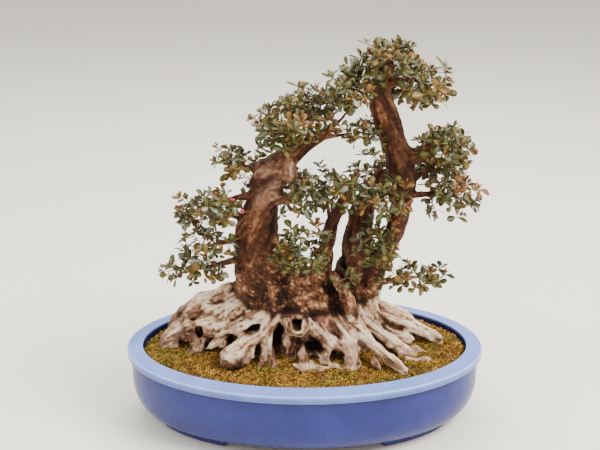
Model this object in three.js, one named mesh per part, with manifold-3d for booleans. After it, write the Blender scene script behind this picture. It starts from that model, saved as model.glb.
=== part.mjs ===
// A small-leaved evergreen azalea grown as a bonsai, in a glazed oval pot.
// Millimetres, +Z up. The origin is on the surface that the pot stands on, below the middle of the pot.
// The pot's length runs along X, and the tree's front faces -Y.

import * as THREE from "three";
import { mergeVertices } from "three/addons/utils/BufferGeometryUtils.js";
import Module from "manifold-3d";

const wasm = await Module();
wasm.setup();

// ---------------------------------------------------------------- driving dimensions

// Pot
const potLength = 400;
const potDepth = 245;
const potHeight = 86;
const rimWidth = 17.5;
const rimFall = 2; // the rim's flat top falls outwards by this
const lipHeight = 8.5;
const lipOverhang = 6; // how far the lip stands out past the wall below it
const bellyHeight = 48; // where the wall stands out furthest
const bellySwell = 2;
const wallThickness = 10.5;
const floorThickness = 8;
const footHeight = 9;
const footWidth = 15;
const footStart = 26; // degrees round the oval from its long axis
const footEnd = 60;
const baseInset = 27; // from the rim's edge to the foot of the wall
const drainHoleDiameter = 24;
const drainHoleSpacing = 170;

// What lies in the pot
const meshSide = 38;
const meshThickness = 1.4;
const meshOpening = 4.8;
const meshPitch = 7;
const meshOpenings = 4; // in each row
const clipWire = 1.2;
const tieWire = 2;
const tieDepth = 28; // its ends lie this far below the rim
const gritDepth = 13;
const soilBelowRim = 10;
const soilMound = 5;
const mossThickness = 4;
const mossMargin = 1.2; // the dry line between the moss and the pot's wall

// Fits
const clearance = 0.3;
const leafClearance = 0.6;

// The pot that the tree's points below are given for: in another pot the tree's plan follows the pot's
// length and depth, and the tree stands as high above the rim.
const plantedLength = 400;
const plantedDepth = 245;
const plantedHeight = 86;

// Overall growth of the wood: 1 is the tree as it stands
const trunkGirth = 1;
const rootGirth = 1;
const crownSpread = 1; // size of the foliage pads about their own middles

// Fineness of the surfaces
const potSegments = 40;
const trunkSides = 9;
const rootSides = 6;
const branchSides = 5;
const limbStep = 20;
const lobeDetail = 2;

// ---------------------------------------------------------------- solids and meshes

function solidFrom(geometry) {
  const bare = new THREE.BufferGeometry();
  bare.setAttribute("position", geometry.getAttribute("position"));
  bare.setIndex(geometry.index);
  const merged = mergeVertices(bare, 1e-4);
  const triVerts = new Uint32Array(merged.index.array);
  const vertProperties = merged.attributes.position.array;
  return new wasm.Manifold(new wasm.Mesh({ numProp: 3, vertProperties, triVerts }));
}

function geometryFrom(solid) {
  const mesh = solid.getMesh();
  const geometry = new THREE.BufferGeometry();
  geometry.setAttribute("position", new THREE.BufferAttribute(new Float32Array(mesh.vertProperties), 3));
  geometry.setIndex(new THREE.BufferAttribute(new Uint32Array(mesh.triVerts), 1));
  geometry.computeVertexNormals();
  return geometry;
}

function joined(solids) {
  return solids.reduce((all, next) => all.add(next));
}

// The outer skin of a solid, with any pocket sealed inside it grown shut.
function filled(solid) {
  return solid.decompose().reduce((largest, next) => (next.volume() > largest.volume() ? next : largest));
}

const group = new THREE.Group();

function addPiece(name, solid, colour, roughness, metalness = 0) {
  const material = new THREE.MeshStandardMaterial({ color: colour, roughness, metalness });
  const mesh = new THREE.Mesh(geometryFrom(solid), material);
  mesh.name = name;
  group.add(mesh);
}

// ---------------------------------------------------------------- the oval

// Every ring of the pot keeps the same inset from the rim all the way round, so a ring of half-length r
// is (r - ovalDifference) deep. Rings well inside the floor's edge shrink in proportion to the middle.
const halfLength = potLength / 2;
const ovalDifference = (potLength - potDepth) / 2;
const floorHalfLength = halfLength - baseInset - wallThickness;
const middleRing = floorHalfLength - 5;
const middleRatio = (middleRing - ovalDifference) / middleRing;

function ovalDepth(r) {
  return Math.max(r - ovalDifference, r * middleRatio);
}

// A profile of [half-length, height] pairs, turned round the oval.
function ovalSolid(profile) {
  const points = profile.map(([r, z]) => new THREE.Vector2(r, z));
  const geometry = new THREE.LatheGeometry(points, potSegments);
  geometry.rotateX(Math.PI / 2);
  const position = geometry.getAttribute("position");
  for (let i = 0; i < position.count; i++) {
    const r = Math.hypot(position.getX(i), position.getY(i));
    if (r > 0) position.setY(i, (position.getY(i) / r) * ovalDepth(r));
  }
  return solidFrom(geometry);
}

// ---------------------------------------------------------------- pot

const wallTop = potHeight - rimFall - lipHeight;
const floorTop = footHeight + floorThickness;
const bellyRadius = halfLength - lipOverhang + bellySwell;
const baseRadius = halfLength - baseInset;
const rimInner = halfLength - rimWidth;
const curveSteps = 5;

// Half-length of the outer wall at a height: a quarter of an ellipse below the belly, a slight fall above.
function outerWall(z) {
  if (z >= bellyHeight) {
    return bellyRadius - bellySwell * ((z - bellyHeight) / (wallTop - bellyHeight)) ** 2;
  }
  const drop = (bellyHeight - z) / (bellyHeight - footHeight);
  return baseRadius + (bellyRadius - baseRadius) * Math.sqrt(1 - drop ** 2);
}

// Heights down the curve below the belly, close together where it turns under.
function curveHeights(bottom) {
  const heights = [];
  for (let i = 0; i <= curveSteps; i++) {
    const angle = (i / curveSteps) * (Math.PI / 2);
    heights.push(bellyHeight - (bellyHeight - bottom) * Math.sin(angle));
  }
  return heights;
}

// The inner face from the rim down to the floor, as [half-length, height] pairs.
function innerFace() {
  const bellyInner = bellyRadius - wallThickness;
  const below = curveHeights(floorTop).map((z) => {
    const drop = (bellyHeight - z) / (bellyHeight - floorTop);
    return [floorHalfLength + (bellyInner - floorHalfLength) * Math.sqrt(Math.max(0, 1 - drop ** 2)), z];
  });
  return [[rimInner, potHeight - 1], ...below];
}

const faceRings = innerFace();

// Half-length of the inner face at a height.
function innerWall(z) {
  const above = faceRings.findLastIndex((ring) => ring[1] >= z);
  const [r, top] = faceRings[above];
  const [lowerR, lower] = faceRings[Math.min(above + 1, faceRings.length - 1)];
  return lower < top ? THREE.MathUtils.mapLinear(z, top, lower, r, lowerR) : r;
}

function potShell() {
  const outside = curveHeights(footHeight).reverse();
  return ovalSolid([
    [0, footHeight],
    ...outside.map((z) => [outerWall(z), z]),
    [outerWall(wallTop), wallTop],
    [halfLength - 1.5, wallTop],
    [halfLength, wallTop + 1.5],
    [halfLength, potHeight - rimFall - 1],
    [halfLength - 1, potHeight - rimFall],
    [rimInner + 1, potHeight],
    ...faceRings,
    [0, floorTop],
  ]);
}

// One foot: a length of the oval's edge, flat below, rising a little way into the pot's floor.
function footSolid(quadrant) {
  const shape = new THREE.Shape();
  const steps = 8;
  const outline = [];
  for (const [inset, forwards] of [[0, true], [footWidth, false]]) {
    for (let i = 0; i <= steps; i++) {
      const share = forwards ? i / steps : 1 - i / steps;
      const angle = THREE.MathUtils.degToRad(THREE.MathUtils.lerp(footStart, footEnd, share));
      const r = baseRadius - inset;
      outline.push([r * Math.cos(angle) * quadrant[0], ovalDepth(r) * Math.sin(angle) * quadrant[1]]);
    }
  }
  if (quadrant[0] * quadrant[1] < 0) outline.reverse();
  shape.setFromPoints(outline.map(([x, y]) => new THREE.Vector2(x, y)));
  const depth = footHeight + floorThickness / 2;
  return solidFrom(new THREE.ExtrudeGeometry(shape, { depth, bevelEnabled: false }));
}

const sides = [-1, 1];

function drainHole(side) {
  const radius = drainHoleDiameter / 2;
  const height = 3 * floorThickness;
  const geometry = new THREE.CylinderGeometry(radius, radius, height, 20);
  geometry.rotateX(Math.PI / 2);
  geometry.translate((side * drainHoleSpacing) / 2, 0, footHeight + floorThickness / 2);
  return solidFrom(geometry);
}

function potSolid() {
  let pot = potShell();
  for (const x of sides) {
    for (const y of sides) pot = pot.add(footSolid([x, y]));
  }
  for (const side of sides) pot = pot.subtract(drainHole(side));
  return pot;
}

// ---------------------------------------------------------------- drainage screens and wires

const meshBottom = floorTop + clearance;

function boxSolid(sizes, centre) {
  const geometry = new THREE.BoxGeometry(...sizes);
  geometry.translate(...centre);
  return solidFrom(geometry);
}

// A square of plastic screen with rows of square openings.
function screenSolid(side) {
  const middle = [(side * drainHoleSpacing) / 2, 0, meshBottom + meshThickness / 2];
  let screen = boxSolid([meshSide, meshSide, meshThickness], middle);
  const first = (-(meshOpenings - 1) * meshPitch) / 2;
  for (let row = 0; row < meshOpenings; row++) {
    for (let column = 0; column < meshOpenings; column++) {
      const centre = [middle[0] + first + column * meshPitch, first + row * meshPitch, middle[2]];
      screen = screen.subtract(boxSolid([meshOpening, meshOpening, 2 * meshThickness], centre));
    }
  }
  return screen;
}

// The room that a screen and its clip take up in the grit.
function screenRoom(side) {
  const width = meshSide + 2 * clearance;
  const height = meshThickness + 1.5 * clipWire + 3 * clearance;
  const middle = [(side * drainHoleSpacing) / 2, 0, floorTop + height / 2];
  return boxSolid([width, width, height], middle);
}

// A round wire along straight stretches between points, each corner rounded by the curve.
function wireSolid(points, diameter, steps, grow = 0) {
  const circle = new THREE.Shape();
  circle.absarc(0, 0, diameter / 2 + grow, 0, 2 * Math.PI);
  const path = new THREE.CatmullRomCurve3(points.map((p) => new THREE.Vector3(...p)), false, "centripetal");
  const options = { steps, extrudePath: path, curveSegments: 3, bevelEnabled: false };
  return solidFrom(new THREE.ExtrudeGeometry(circle, options));
}

// The middle of the openings next to the screen's own middle is this far out along X and along Y.
const openingReach = meshPitch / 2;

// The clip that holds a screen: a bridge over it, and two legs down through its openings and the drain
// hole, turned out under the pot's floor.
const clipTop = meshBottom + meshThickness + clearance + clipWire / 2;
const clipUnder = footHeight - clearance - clipWire / 2;

function clipPoints(side) {
  const x = (side * drainHoleSpacing) / 2;
  const y = openingReach;
  const reach = drainHoleDiameter / 2 + 3;
  return [
    [x - reach, y, clipUnder],
    [x - openingReach - 1, y, clipUnder],
    [x - openingReach, y, clipUnder + 1],
    [x - openingReach, y, clipTop - 1],
    [x - openingReach + 1, y, clipTop],
    [x + openingReach - 1, y, clipTop],
    [x + openingReach, y, clipTop - 1],
    [x + openingReach, y, clipUnder + 1],
    [x + openingReach + 1, y, clipUnder],
    [x + reach, y, clipUnder],
  ];
}

// The wire that ties the tree down: under the pot from hole to hole, up through both screens, and up
// beside the woody base of the roots, ending below the soil's surface.
const tieUnder = footHeight - clearance - tieWire / 2;
const tieEnd = potHeight - tieDepth;

function tiePoints(side) {
  const x = side * (drainHoleSpacing / 2 - openingReach);
  const y = -openingReach;
  return [
    [0, y, tieUnder],
    [x - side * 2, y, tieUnder],
    [x, y, tieUnder + 2],
    [x, y, floorTop + 4],
    [x, y, (floorTop + tieEnd) / 2],
    [x, y, tieEnd],
  ];
}

function tieSolid(grow = 0) {
  return joined(sides.map((side) => wireSolid(tiePoints(side), tieWire, 12, grow)));
}

// ---------------------------------------------------------------- wood

// A point of the tree, moved with the pot that it stands in.
function planted([x, y, z]) {
  const alongPot = potLength / plantedLength;
  const acrossPot = potDepth / plantedDepth;
  return new THREE.Vector3(x * alongPot, y * acrossPot, z + potHeight - plantedHeight);
}

// A tapering limb through points of [x, y, z, radius]. Flutes are shallow ridges along it.
function limbSolid(points, girth, grow, sideCount, flutes = 0) {
  const centres = points.map(planted);
  const path = new THREE.CatmullRomCurve3(centres, false, "centripetal");
  const steps = Math.max(points.length, Math.round(path.getLength() / limbStep));
  const geometry = new THREE.CylinderGeometry(1, 1, 1, sideCount, steps);
  const rings = [];
  let sideways = new THREE.Vector3(0, -1, 0);
  for (let i = 0; i <= steps; i++) {
    const along = path.getTangent(i / steps);
    sideways = sideways.clone().addScaledVector(along, -sideways.dot(along)).normalize();
    const across = new THREE.Vector3().crossVectors(sideways, along);
    const place = (i / steps) * (points.length - 1);
    const before = Math.min(points.length - 2, Math.floor(place));
    const radius = THREE.MathUtils.lerp(points[before][3], points[before + 1][3], place - before);
    const centre = path.getPoint(i / steps);
    if (i === 0) centre.addScaledVector(along, -grow);
    if (i === steps) centre.addScaledVector(along, grow);
    rings.push({ centre, sideways, across, radius: radius * girth + grow });
  }
  const position = geometry.getAttribute("position");
  for (let i = 0; i < position.count; i++) {
    const vertex = new THREE.Vector3().fromBufferAttribute(position, i);
    const ring = rings[Math.round((vertex.y + 0.5) * steps)];
    const angle = Math.atan2(vertex.z, vertex.x);
    const ridge = 1 + flutes * Math.sin(3 * angle + ring.centre.z / 40) * Math.cos(2 * angle);
    const out = Math.hypot(vertex.x, vertex.z) * ring.radius * ridge;
    vertex.copy(ring.centre);
    vertex.addScaledVector(ring.sideways, out * Math.cos(angle));
    vertex.addScaledVector(ring.across, out * Math.sin(angle));
    position.setXYZ(i, vertex.x, vertex.y, vertex.z);
  }
  return solidFrom(geometry);
}

// The four trunks, their knob and stub, and the lump of wood they rise from.
const trunks = [
  // left trunk, its swollen head, and the arm that leaves the head
  [[-46, 10, 66, 36], [-48, 10, 96, 40], [-47, 0, 136, 36], [-50, -4, 183, 28], [-52, -4, 209, 24],
    [-48, -4, 238, 20], [-41, -4, 261, 15.5], [-37, -4, 279, 20], [-25, -4, 293, 18], [-13, -3, 305, 10.5],
    [1, -2, 314, 7.5], [16, 0, 324, 6.3], [30, 2, 336, 4.2]],
  // shoulder and pruned stub of the head
  [[-34, -6, 272, 13], [-42, -6, 288, 13], [-46, -6, 299, 7]],
  [[-24, -6, 290, 13], [-19, -8, 306, 9], [-15, -8, 322, 5]],
  // thin middle trunk
  [[6, -8, 124, 26], [12, -9, 154, 18], [19, -8, 178, 12], [25, -6, 204, 8.3], [30, -4, 232, 7.5],
    [42, 0, 253, 6.4], [51, 4, 269, 5], [58, 6, 283, 3]],
  // thick back trunk
  [[44, 10, 66, 34], [44, 8, 120, 32], [48, 8, 157, 22], [56, 10, 192, 17.5], [61, 14, 220, 16],
    [67, 18, 247, 12], [75, 20, 267, 8], [86, 22, 282, 4.5]],
  // right trunk, sweeping out and back in, to the apex
  [[58, 8, 70, 30], [60, 6, 127, 26], [68, 6, 153, 17], [80, 6, 178, 13], [92, 6, 201, 12],
    [102, 6, 226, 11.5],
    [106, 6, 251, 12.5], [107, 6, 274, 12.5], [102, 6, 296, 14.5], [94, 6, 316, 14.5], [84, 6, 342, 15],
    [77, 6, 361, 13.5], [80, 6, 379, 9], [88, 5, 402, 4.5]],
  // the right trunk's arm
  [[100, 4, 297, 12], [119, 0, 303, 8.4], [135, -4, 301, 5.2], [152, -6, 296, 3.4]],
  // the lump of wood at the middle
  [[2, 8, 62, 46], [1, 5, 100, 52], [0, 0, 136, 44], [4, 0, 168, 26]],
];

// Surface roots: the two broad slabs that the side roots have fused into, the front roots from left to
// right, then those at the back.
const roots = [
  [[-20, 0, 122, 38], [-60, 2, 114, 27], [-92, 6, 102, 18], [-116, 8, 88, 10]],
  [[36, 0, 116, 36], [68, 2, 104, 25], [92, 8, 92, 16], [112, 12, 82, 9]],
  [[-47, 0, 152, 15], [-77, 10, 141, 11.5], [-113, 20, 125, 9.5], [-143, 26, 108, 6.5],
    [-158, 30, 84, 3.5]],
  [[-107, 12, 123, 10], [-130, 8, 109, 8], [-144, 6, 92, 6.3], [-154, 4, 78, 4]],
  [[-78, 0, 132, 13], [-103, -6, 116, 9], [-117, -10, 99, 7.3], [-126, -14, 80, 4.5]],
  [[-60, -10, 134, 15], [-80, -18, 121, 11], [-91, -22, 102, 8], [-99, -24, 80, 4.5]],
  [[-22, -20, 139, 15], [-38, -31, 122, 12], [-56, -42, 107, 9.5], [-73, -52, 98, 9.5],
    [-83, -60, 89, 10.5]],
  [[-27, -26, 128, 9], [-31, -38, 110, 5.4], [-35, -47, 96, 4.3], [-42, -52, 78, 3]],
  [[-19, -30, 138, 5], [-17, -40, 124, 4.4], [-9, -45, 114, 4.4], [0, -44, 121, 4.6], [2, -36, 136, 5]],
  [[4, -28, 130, 9], [4, -42, 110, 6], [-1, -50, 94, 4.4], [-4, -56, 78, 3]],
  [[14, -22, 134, 13], [19, -36, 116, 11], [23, -45, 102, 8], [19, -52, 80, 4.5]],
  [[32, -24, 130, 11], [43, -38, 113, 7.5], [49, -47, 100, 5.5], [46, -56, 78, 3.4]],
  [[30, -22, 176, 6], [42, -29, 159, 5], [51, -33, 140, 5], [56, -34, 122, 5.5]],
  [[37, -12, 143, 12], [48, -27, 126, 9.5], [66, -41, 110, 7.4], [87, -55, 95, 5.4], [108, -68, 78, 3]],
  [[64, -8, 120, 12], [86, -20, 103, 8.5], [105, -26, 94, 6], [128, -31, 78, 3.4]],
  [[65, 4, 125, 14], [97, 4, 107, 9.5], [124, 6, 97, 7], [158, 6, 78, 4]],
  [[70, 16, 128, 13], [101, 22, 108, 8], [124, 25, 100, 5.6], [146, 28, 78, 3]],
  [[68, 28, 126, 13], [96, 42, 107, 8], [118, 52, 97, 5.4], [134, 58, 78, 3]],
  [[40, 34, 126, 13], [60, 54, 106, 9], [78, 70, 94, 6], [90, 80, 76, 3]],
  [[4, 36, 122, 14], [8, 58, 102, 9], [4, 76, 92, 6], [10, 90, 76, 3]],
  [[-34, 32, 128, 14], [-52, 54, 106, 9], [-60, 68, 96, 6], [-78, 80, 76, 3]],
  [[-60, 22, 138, 13], [-90, 40, 114, 9], [-112, 50, 100, 7], [-136, 58, 78, 3.4]],
];

// Branches that leave the trunks for the foliage.
const branches = [
  // apex
  [[79, 6, 372, 8], [92, 0, 382, 5], [110, -8, 384, 3.4], [124, -12, 382, 2.2]],
  [[78, 4, 366, 7], [66, -6, 376, 4.6], [50, -12, 380, 3], [38, -12, 378, 2]],
  [[84, 6, 388, 5], [76, 10, 398, 3.6], [66, 10, 404, 2]],
  [[80, 10, 362, 7], [90, 28, 374, 4.4], [102, 46, 384, 2.6]],
  // from the arm of the left trunk
  [[-10, -3, 306, 6], [-16, -14, 326, 3.8], [-24, -20, 344, 2.4]],
  [[4, -2, 316, 5.4], [6, 10, 334, 3.6], [2, 22, 352, 2.2]],
  [[24, 2, 330, 4], [36, -8, 342, 3], [44, -12, 354, 2]],
  [[14, 0, 322, 4], [36, 2, 324, 2.8], [64, 2, 329, 1.8]],
  // from the left trunk, to the left and to the back
  [[-44, -4, 284, 6], [-58, -8, 292, 3], [-76, -10, 300, 2]],
  [[-50, -4, 262, 7], [-68, -14, 262, 4], [-94, -24, 258, 2.4]],
  [[-60, -2, 230, 7], [-82, 8, 236, 4.4], [-114, 16, 234, 2.4]],
  [[-62, -4, 212, 7], [-82, -16, 212, 4.2], [-110, -24, 208, 2.4]],
  [[-64, -6, 190, 7], [-88, -16, 187, 4], [-116, -20, 181, 2.6], [-142, -22, 179, 1.8]],
  [[-44, 4, 244, 8], [-40, 30, 248, 4.6], [-34, 54, 250, 2.6]],
  // between the trunks
  [[-32, -6, 256, 6], [-14, -16, 262, 3.6], [4, -22, 266, 2.2]],
  [[44, 0, 254, 5], [38, -14, 264, 3.2], [34, -26, 272, 2]],
  [[-28, -16, 206, 7], [-12, -36, 208, 4], [4, -52, 212, 2.4]],
  [[28, -6, 216, 5], [26, 16, 238, 3.2], [20, 42, 254, 2]],
  // from the back and right trunks
  [[74, 19, 262, 6], [74, 0, 270, 3.6], [70, -14, 274, 2.2]],
  [[98, 0, 262, 6], [92, -22, 264, 4], [86, -36, 266, 2.2]],
  [[70, 16, 248, 7], [78, 38, 256, 4.2], [86, 58, 260, 2.4]],
  [[94, 0, 210, 6], [84, -22, 214, 3.8], [78, -34, 214, 2.2]],
  [[112, 4, 256, 6], [132, -4, 262, 3.8], [156, -10, 262, 2.2]],
  [[112, 8, 270, 6], [132, 22, 282, 3.8], [150, 36, 288, 2.4]],
  [[108, 4, 302, 6], [126, 0, 312, 3.6], [146, -4, 318, 2.2]],
  [[70, -6, 160, 8], [92, -20, 168, 4.2], [122, -26, 176, 2.4]],
];

function inReach(points, box) {
  if (!box) return true;
  return points.some((point) => {
    const reach = 2 * (point[3] + limbStep);
    const place = planted(point).toArray();
    return place.every((value, axis) => value > box.min[axis] - reach && value < box.max[axis] + reach);
  });
}

// The wood, grown outwards by a clearance where a neighbour is cut to it, within a box if one is given.
function limbSolids(grow, box) {
  const kinds = [
    [trunks, trunkGirth, trunkSides, 0.1],
    [roots, rootGirth, rootSides, 0.06],
    [branches, trunkGirth, branchSides, 0],
  ];
  const solids = [];
  for (const [limbs, girth, sideCount, flutes] of kinds) {
    for (const points of limbs) {
      if (inReach(points, box)) solids.push(limbSolid(points, girth, grow, sideCount, flutes));
    }
  }
  return solids;
}

// ---------------------------------------------------------------- soil and moss

const bedTop = potHeight - soilBelowRim;

// Height of the soil's surface over a ring of half-length r: level at the wall, mounded to the middle.
function moundHeight(r) {
  return bedTop + soilMound * Math.cos((Math.PI / 2) * (r / innerWall(bedTop)));
}

// The side of a layer that fills the pot from wall to wall, from its bottom up.
function layerSide(bottom, top) {
  const between = faceRings.map((ring) => ring[1]).filter((z) => z > bottom && z < top);
  const heights = [bottom, ...between.reverse(), top];
  return heights.map((z) => [innerWall(z) - clearance, z]);
}

const gritTop = floorTop + gritDepth;

function gritSolid() {
  const bottom = floorTop + clearance;
  return ovalSolid([[0, bottom], ...layerSide(bottom, gritTop), [0, gritTop]]);
}

function soilSolid() {
  const bottom = gritTop + clearance;
  const wall = layerSide(bottom, bedTop);
  const top = [0.7, 0.35, 0].map((share) => {
    const r = share * innerWall(bedTop);
    return [r, moundHeight(r)];
  });
  return ovalSolid([[0, bottom], ...wall, ...top]);
}

function mossSolid() {
  const edge = innerWall(bedTop) - mossMargin;
  const rings = [0, 0.35, 0.7, 1].map((share) => share * edge);
  const under = rings.map((r) => [r, moundHeight(r) + clearance]);
  const over = rings.map((r) => [r, moundHeight(r) + clearance + mossThickness * (r < edge ? 1 : 0.6)]);
  return ovalSolid([...under, ...over.reverse()]);
}

// ---------------------------------------------------------------- foliage

// Each pad is one or more rounded lobes of [x, y, z, half-length, half-depth, half-height].
const pads = {
  apex_top: [[84, 4, 402, 32, 32, 22], [64, 0, 390, 24, 28, 14]],
  apex_right: [[122, -12, 378, 25, 28, 21]],
  apex_left: [[42, -14, 374, 26, 27, 17]],
  apex_back: [[100, 46, 376, 34, 24, 25]],
  head_front: [[-20, -20, 342, 32, 26, 24]],
  head_back: [[8, 26, 350, 34, 24, 22]],
  head_inner: [[62, 0, 329, 21, 20, 12]],
  head_left: [[-74, -10, 299, 22, 22, 15]],
  left_upper: [[-92, -24, 257, 28, 28, 20]],
  left_middle: [[-112, 16, 234, 30, 26, 19]],
  left_lower: [[-102, -28, 210, 30, 26, 16]],
  left_trailing: [[-120, -21, 182, 38, 24, 12]],
  left_back: [[-36, 58, 250, 38, 28, 28]],
  middle_left: [[-2, -22, 268, 22, 22, 18]],
  middle_right: [[38, -26, 270, 21, 22, 19]],
  middle_front: [[4, -54, 212, 35, 24, 28]],
  middle_back: [[20, 46, 254, 26, 24, 20]],
  right_front: [[84, -34, 268, 27, 25, 20]],
  right_back: [[88, 64, 262, 38, 28, 28]],
  right_low_front: [[76, -38, 214, 19, 18, 27]],
  right_outer: [[155, -12, 262, 31, 30, 26]],
  right_outer_back: [[152, 42, 286, 30, 26, 25]],
  right_shoulder: [[146, -6, 316, 32, 28, 19]],
  right_trailing: [[116, -26, 176, 40, 25, 14]],
  base_sprout: [[46, -52, 184, 14, 12, 10]],
};

function lobeSolid(lobe, grow = 0) {
  const geometry = new THREE.IcosahedronGeometry(1, lobeDetail);
  const size = lobe.slice(3).map((half) => half * crownSpread + grow);
  geometry.scale(...size);
  geometry.translate(...planted(lobe).toArray());
  return solidFrom(geometry);
}

function boxesMeet(a, b) {
  return [0, 1, 2].every((axis) => a.min[axis] < b.max[axis] && b.min[axis] < a.max[axis]);
}

// ---------------------------------------------------------------- assembly

const glaze = 0x8fa3dc;
const bark = 0x9a6b4f;
const leafGreen = 0x5b6236;

addPiece("pot", potSolid(), glaze, 0.25);
for (const side of sides) {
  const end = side < 0 ? "left" : "right";
  addPiece("drain_screen_" + end, screenSolid(side), 0x20241f, 0.7);
  addPiece("screen_clip_" + end, wireSolid(clipPoints(side), clipWire, 20), 0xb87333, 0.4, 1);
}
addPiece("tie_wire", tieSolid(), 0x9a8f80, 0.45, 1);

const wood = filled(joined(limbSolids(0)));
addPiece("tree", wood, bark, 0.85);

const bedBox = { min: [-halfLength, -halfLength, 0], max: [halfLength, halfLength, potHeight + soilMound] };
const woodGap = filled(joined(limbSolids(clearance, bedBox)));
const tieGap = tieSolid(clearance);
const grit = sides.reduce((layer, side) => layer.subtract(screenRoom(side)), gritSolid().subtract(tieGap));
addPiece("drainage_grit", grit, 0xb7a58a, 0.95);
addPiece("soil", soilSolid().subtract(tieGap).subtract(woodGap), 0x5a4433, 0.98);
addPiece("moss", mossSolid().subtract(woodGap), 0x8c7a35, 1);

const grown = [];
for (const [name, lobes] of Object.entries(pads)) {
  let pad = joined(lobes.map((lobe) => lobeSolid(lobe)));
  const box = pad.boundingBox();
  for (const limb of limbSolids(leafClearance, box)) {
    if (boxesMeet(limb.boundingBox(), box)) pad = pad.subtract(limb);
  }
  for (const other of grown) {
    if (boxesMeet(other.box, box)) pad = pad.subtract(other.outer);
  }
  addPiece("foliage_" + name, pad, leafGreen, 0.5);
  grown.push({ box, outer: joined(lobes.map((lobe) => lobeSolid(lobe, leafClearance))) });
}

export default group;
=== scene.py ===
"""A bonsai azalea with several trunks on one spreading root base, in a glazed oval pot.

The CAD model gives the sizes and places: the pot's box, the wood's routes and the room that each pad of
foliage takes up. This script gives the looks: a thrown and glazed pot, weathered root wood and bark grown
from the CAD wood, a carpet of dry moss, and twigs and leaves grown into each pad.
"""

import math
from itertools import product

import bpy
import numpy as np
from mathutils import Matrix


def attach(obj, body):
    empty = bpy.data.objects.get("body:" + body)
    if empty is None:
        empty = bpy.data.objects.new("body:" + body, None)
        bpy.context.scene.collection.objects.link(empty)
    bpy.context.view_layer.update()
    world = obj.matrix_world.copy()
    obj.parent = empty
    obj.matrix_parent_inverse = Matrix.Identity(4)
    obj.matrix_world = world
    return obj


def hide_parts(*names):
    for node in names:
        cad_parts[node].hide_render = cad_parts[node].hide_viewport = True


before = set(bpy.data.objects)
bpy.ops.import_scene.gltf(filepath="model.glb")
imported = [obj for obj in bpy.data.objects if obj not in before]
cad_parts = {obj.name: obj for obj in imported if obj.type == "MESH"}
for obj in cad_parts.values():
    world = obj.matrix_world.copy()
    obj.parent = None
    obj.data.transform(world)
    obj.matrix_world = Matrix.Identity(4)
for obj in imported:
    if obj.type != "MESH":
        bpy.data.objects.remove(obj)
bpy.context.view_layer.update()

import openvdb
from mathutils import Vector
from mathutils.bvhtree import BVHTree

MM = 0.001  # one millimetre in the scene's metres
BODY = "root"


# ------------------------------------------------------------------ numbers

def lengths_of(vectors):
    return np.linalg.norm(vectors, axis=-1)


def unit(vectors):
    return vectors / np.maximum(lengths_of(vectors), 1e-9)[..., None]


def smoothstep(value, low, high):
    share = np.clip((value - low) / (high - low), 0, 1)
    return share * share * (3 - 2 * share)


def hashed(cells, seed):
    """A repeatable number from -1 to 1 for each row of whole numbers."""
    ix, iy, iz = cells[..., 0], cells[..., 1], cells[..., 2]
    mixed = (ix * 374761393 + iy * 668265263 + iz * 1440662683 + seed * 974634721) & 0xFFFFFFFF
    mixed = ((mixed ^ (mixed >> 13)) * 1274126177) & 0xFFFFFFFF
    mixed = ((mixed ^ (mixed >> 15)) * 2246822519) & 0xFFFFFFFF
    return ((mixed ^ (mixed >> 16)) & 0xFFFF) / 32767.5 - 1.0


def cell_corners(part):
    """The eight corners of a cell, each with its weight at the places given as shares of the cell."""
    for corner in product((0, 1), repeat=3):
        yield corner, np.prod(np.where(corner, part, 1 - part), axis=1)


def value_noise(points, size, seed):
    """Smooth noise from -1 to 1 with features about size across."""
    scaled = points / size
    cell = np.floor(scaled).astype(np.int64)
    part = smoothstep(scaled - cell, 0, 1)
    return sum(weight * hashed(cell + corner, seed) for corner, weight in cell_corners(part))


def value_noises(points, size, seeds):
    """A vector of noises for each point."""
    return np.stack([value_noise(points, size, seed) for seed in seeds], axis=1)


def fractal(points, size, octaves, seed):
    """Several octaves of noise, each half the size and half the strength of the last."""
    return sum(value_noise(points, size / 2 ** k, seed + 31 * k) / 2 ** k for k in range(octaves))


def cell_bumps(points, size, seed):
    """Rounded bumps about size across: 1 at the middle of each cell and 0 where cells meet."""
    scaled = points / size
    corner = np.floor(scaled).astype(np.int64)
    nearest = second = np.full(len(points), 9.0)
    for step in product((-1, 0, 1), repeat=3):
        cell = corner + step
        shift = np.stack([hashed(cell, seed + k) for k in (1, 2, 3)], axis=1) * 0.4 + 0.5
        gap = lengths_of(cell + shift - scaled)
        second = np.minimum(second, np.maximum(nearest, gap))
        nearest = np.minimum(nearest, gap)
    return np.clip(second - nearest, 0, 0.6) / 0.6


# ------------------------------------------------------------------ meshes

def arrays_of(node):
    """A CAD node's vertices in millimetres, and its triangles."""
    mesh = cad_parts[node].data
    mesh.calc_loop_triangles()
    points = np.empty(len(mesh.vertices) * 3)
    mesh.vertices.foreach_get("co", points)
    corners = np.empty(len(mesh.loop_triangles) * 3, dtype=np.int32)
    mesh.loop_triangles.foreach_get("vertices", corners)
    return points.reshape(-1, 3) / MM, corners.reshape(-1, 3)


def add_fields(mesh, fields):
    """Named numbers on a mesh's vertices, for its material to read."""
    for field, values in fields.items():
        layer = mesh.attributes.new(field, "FLOAT", "POINT")
        layer.data.foreach_set("value", values.astype(np.float32))


def shown(name, data):
    """A new object in the scene."""
    piece = bpy.data.objects.new(name, data)
    bpy.context.scene.collection.objects.link(piece)
    return piece


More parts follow.
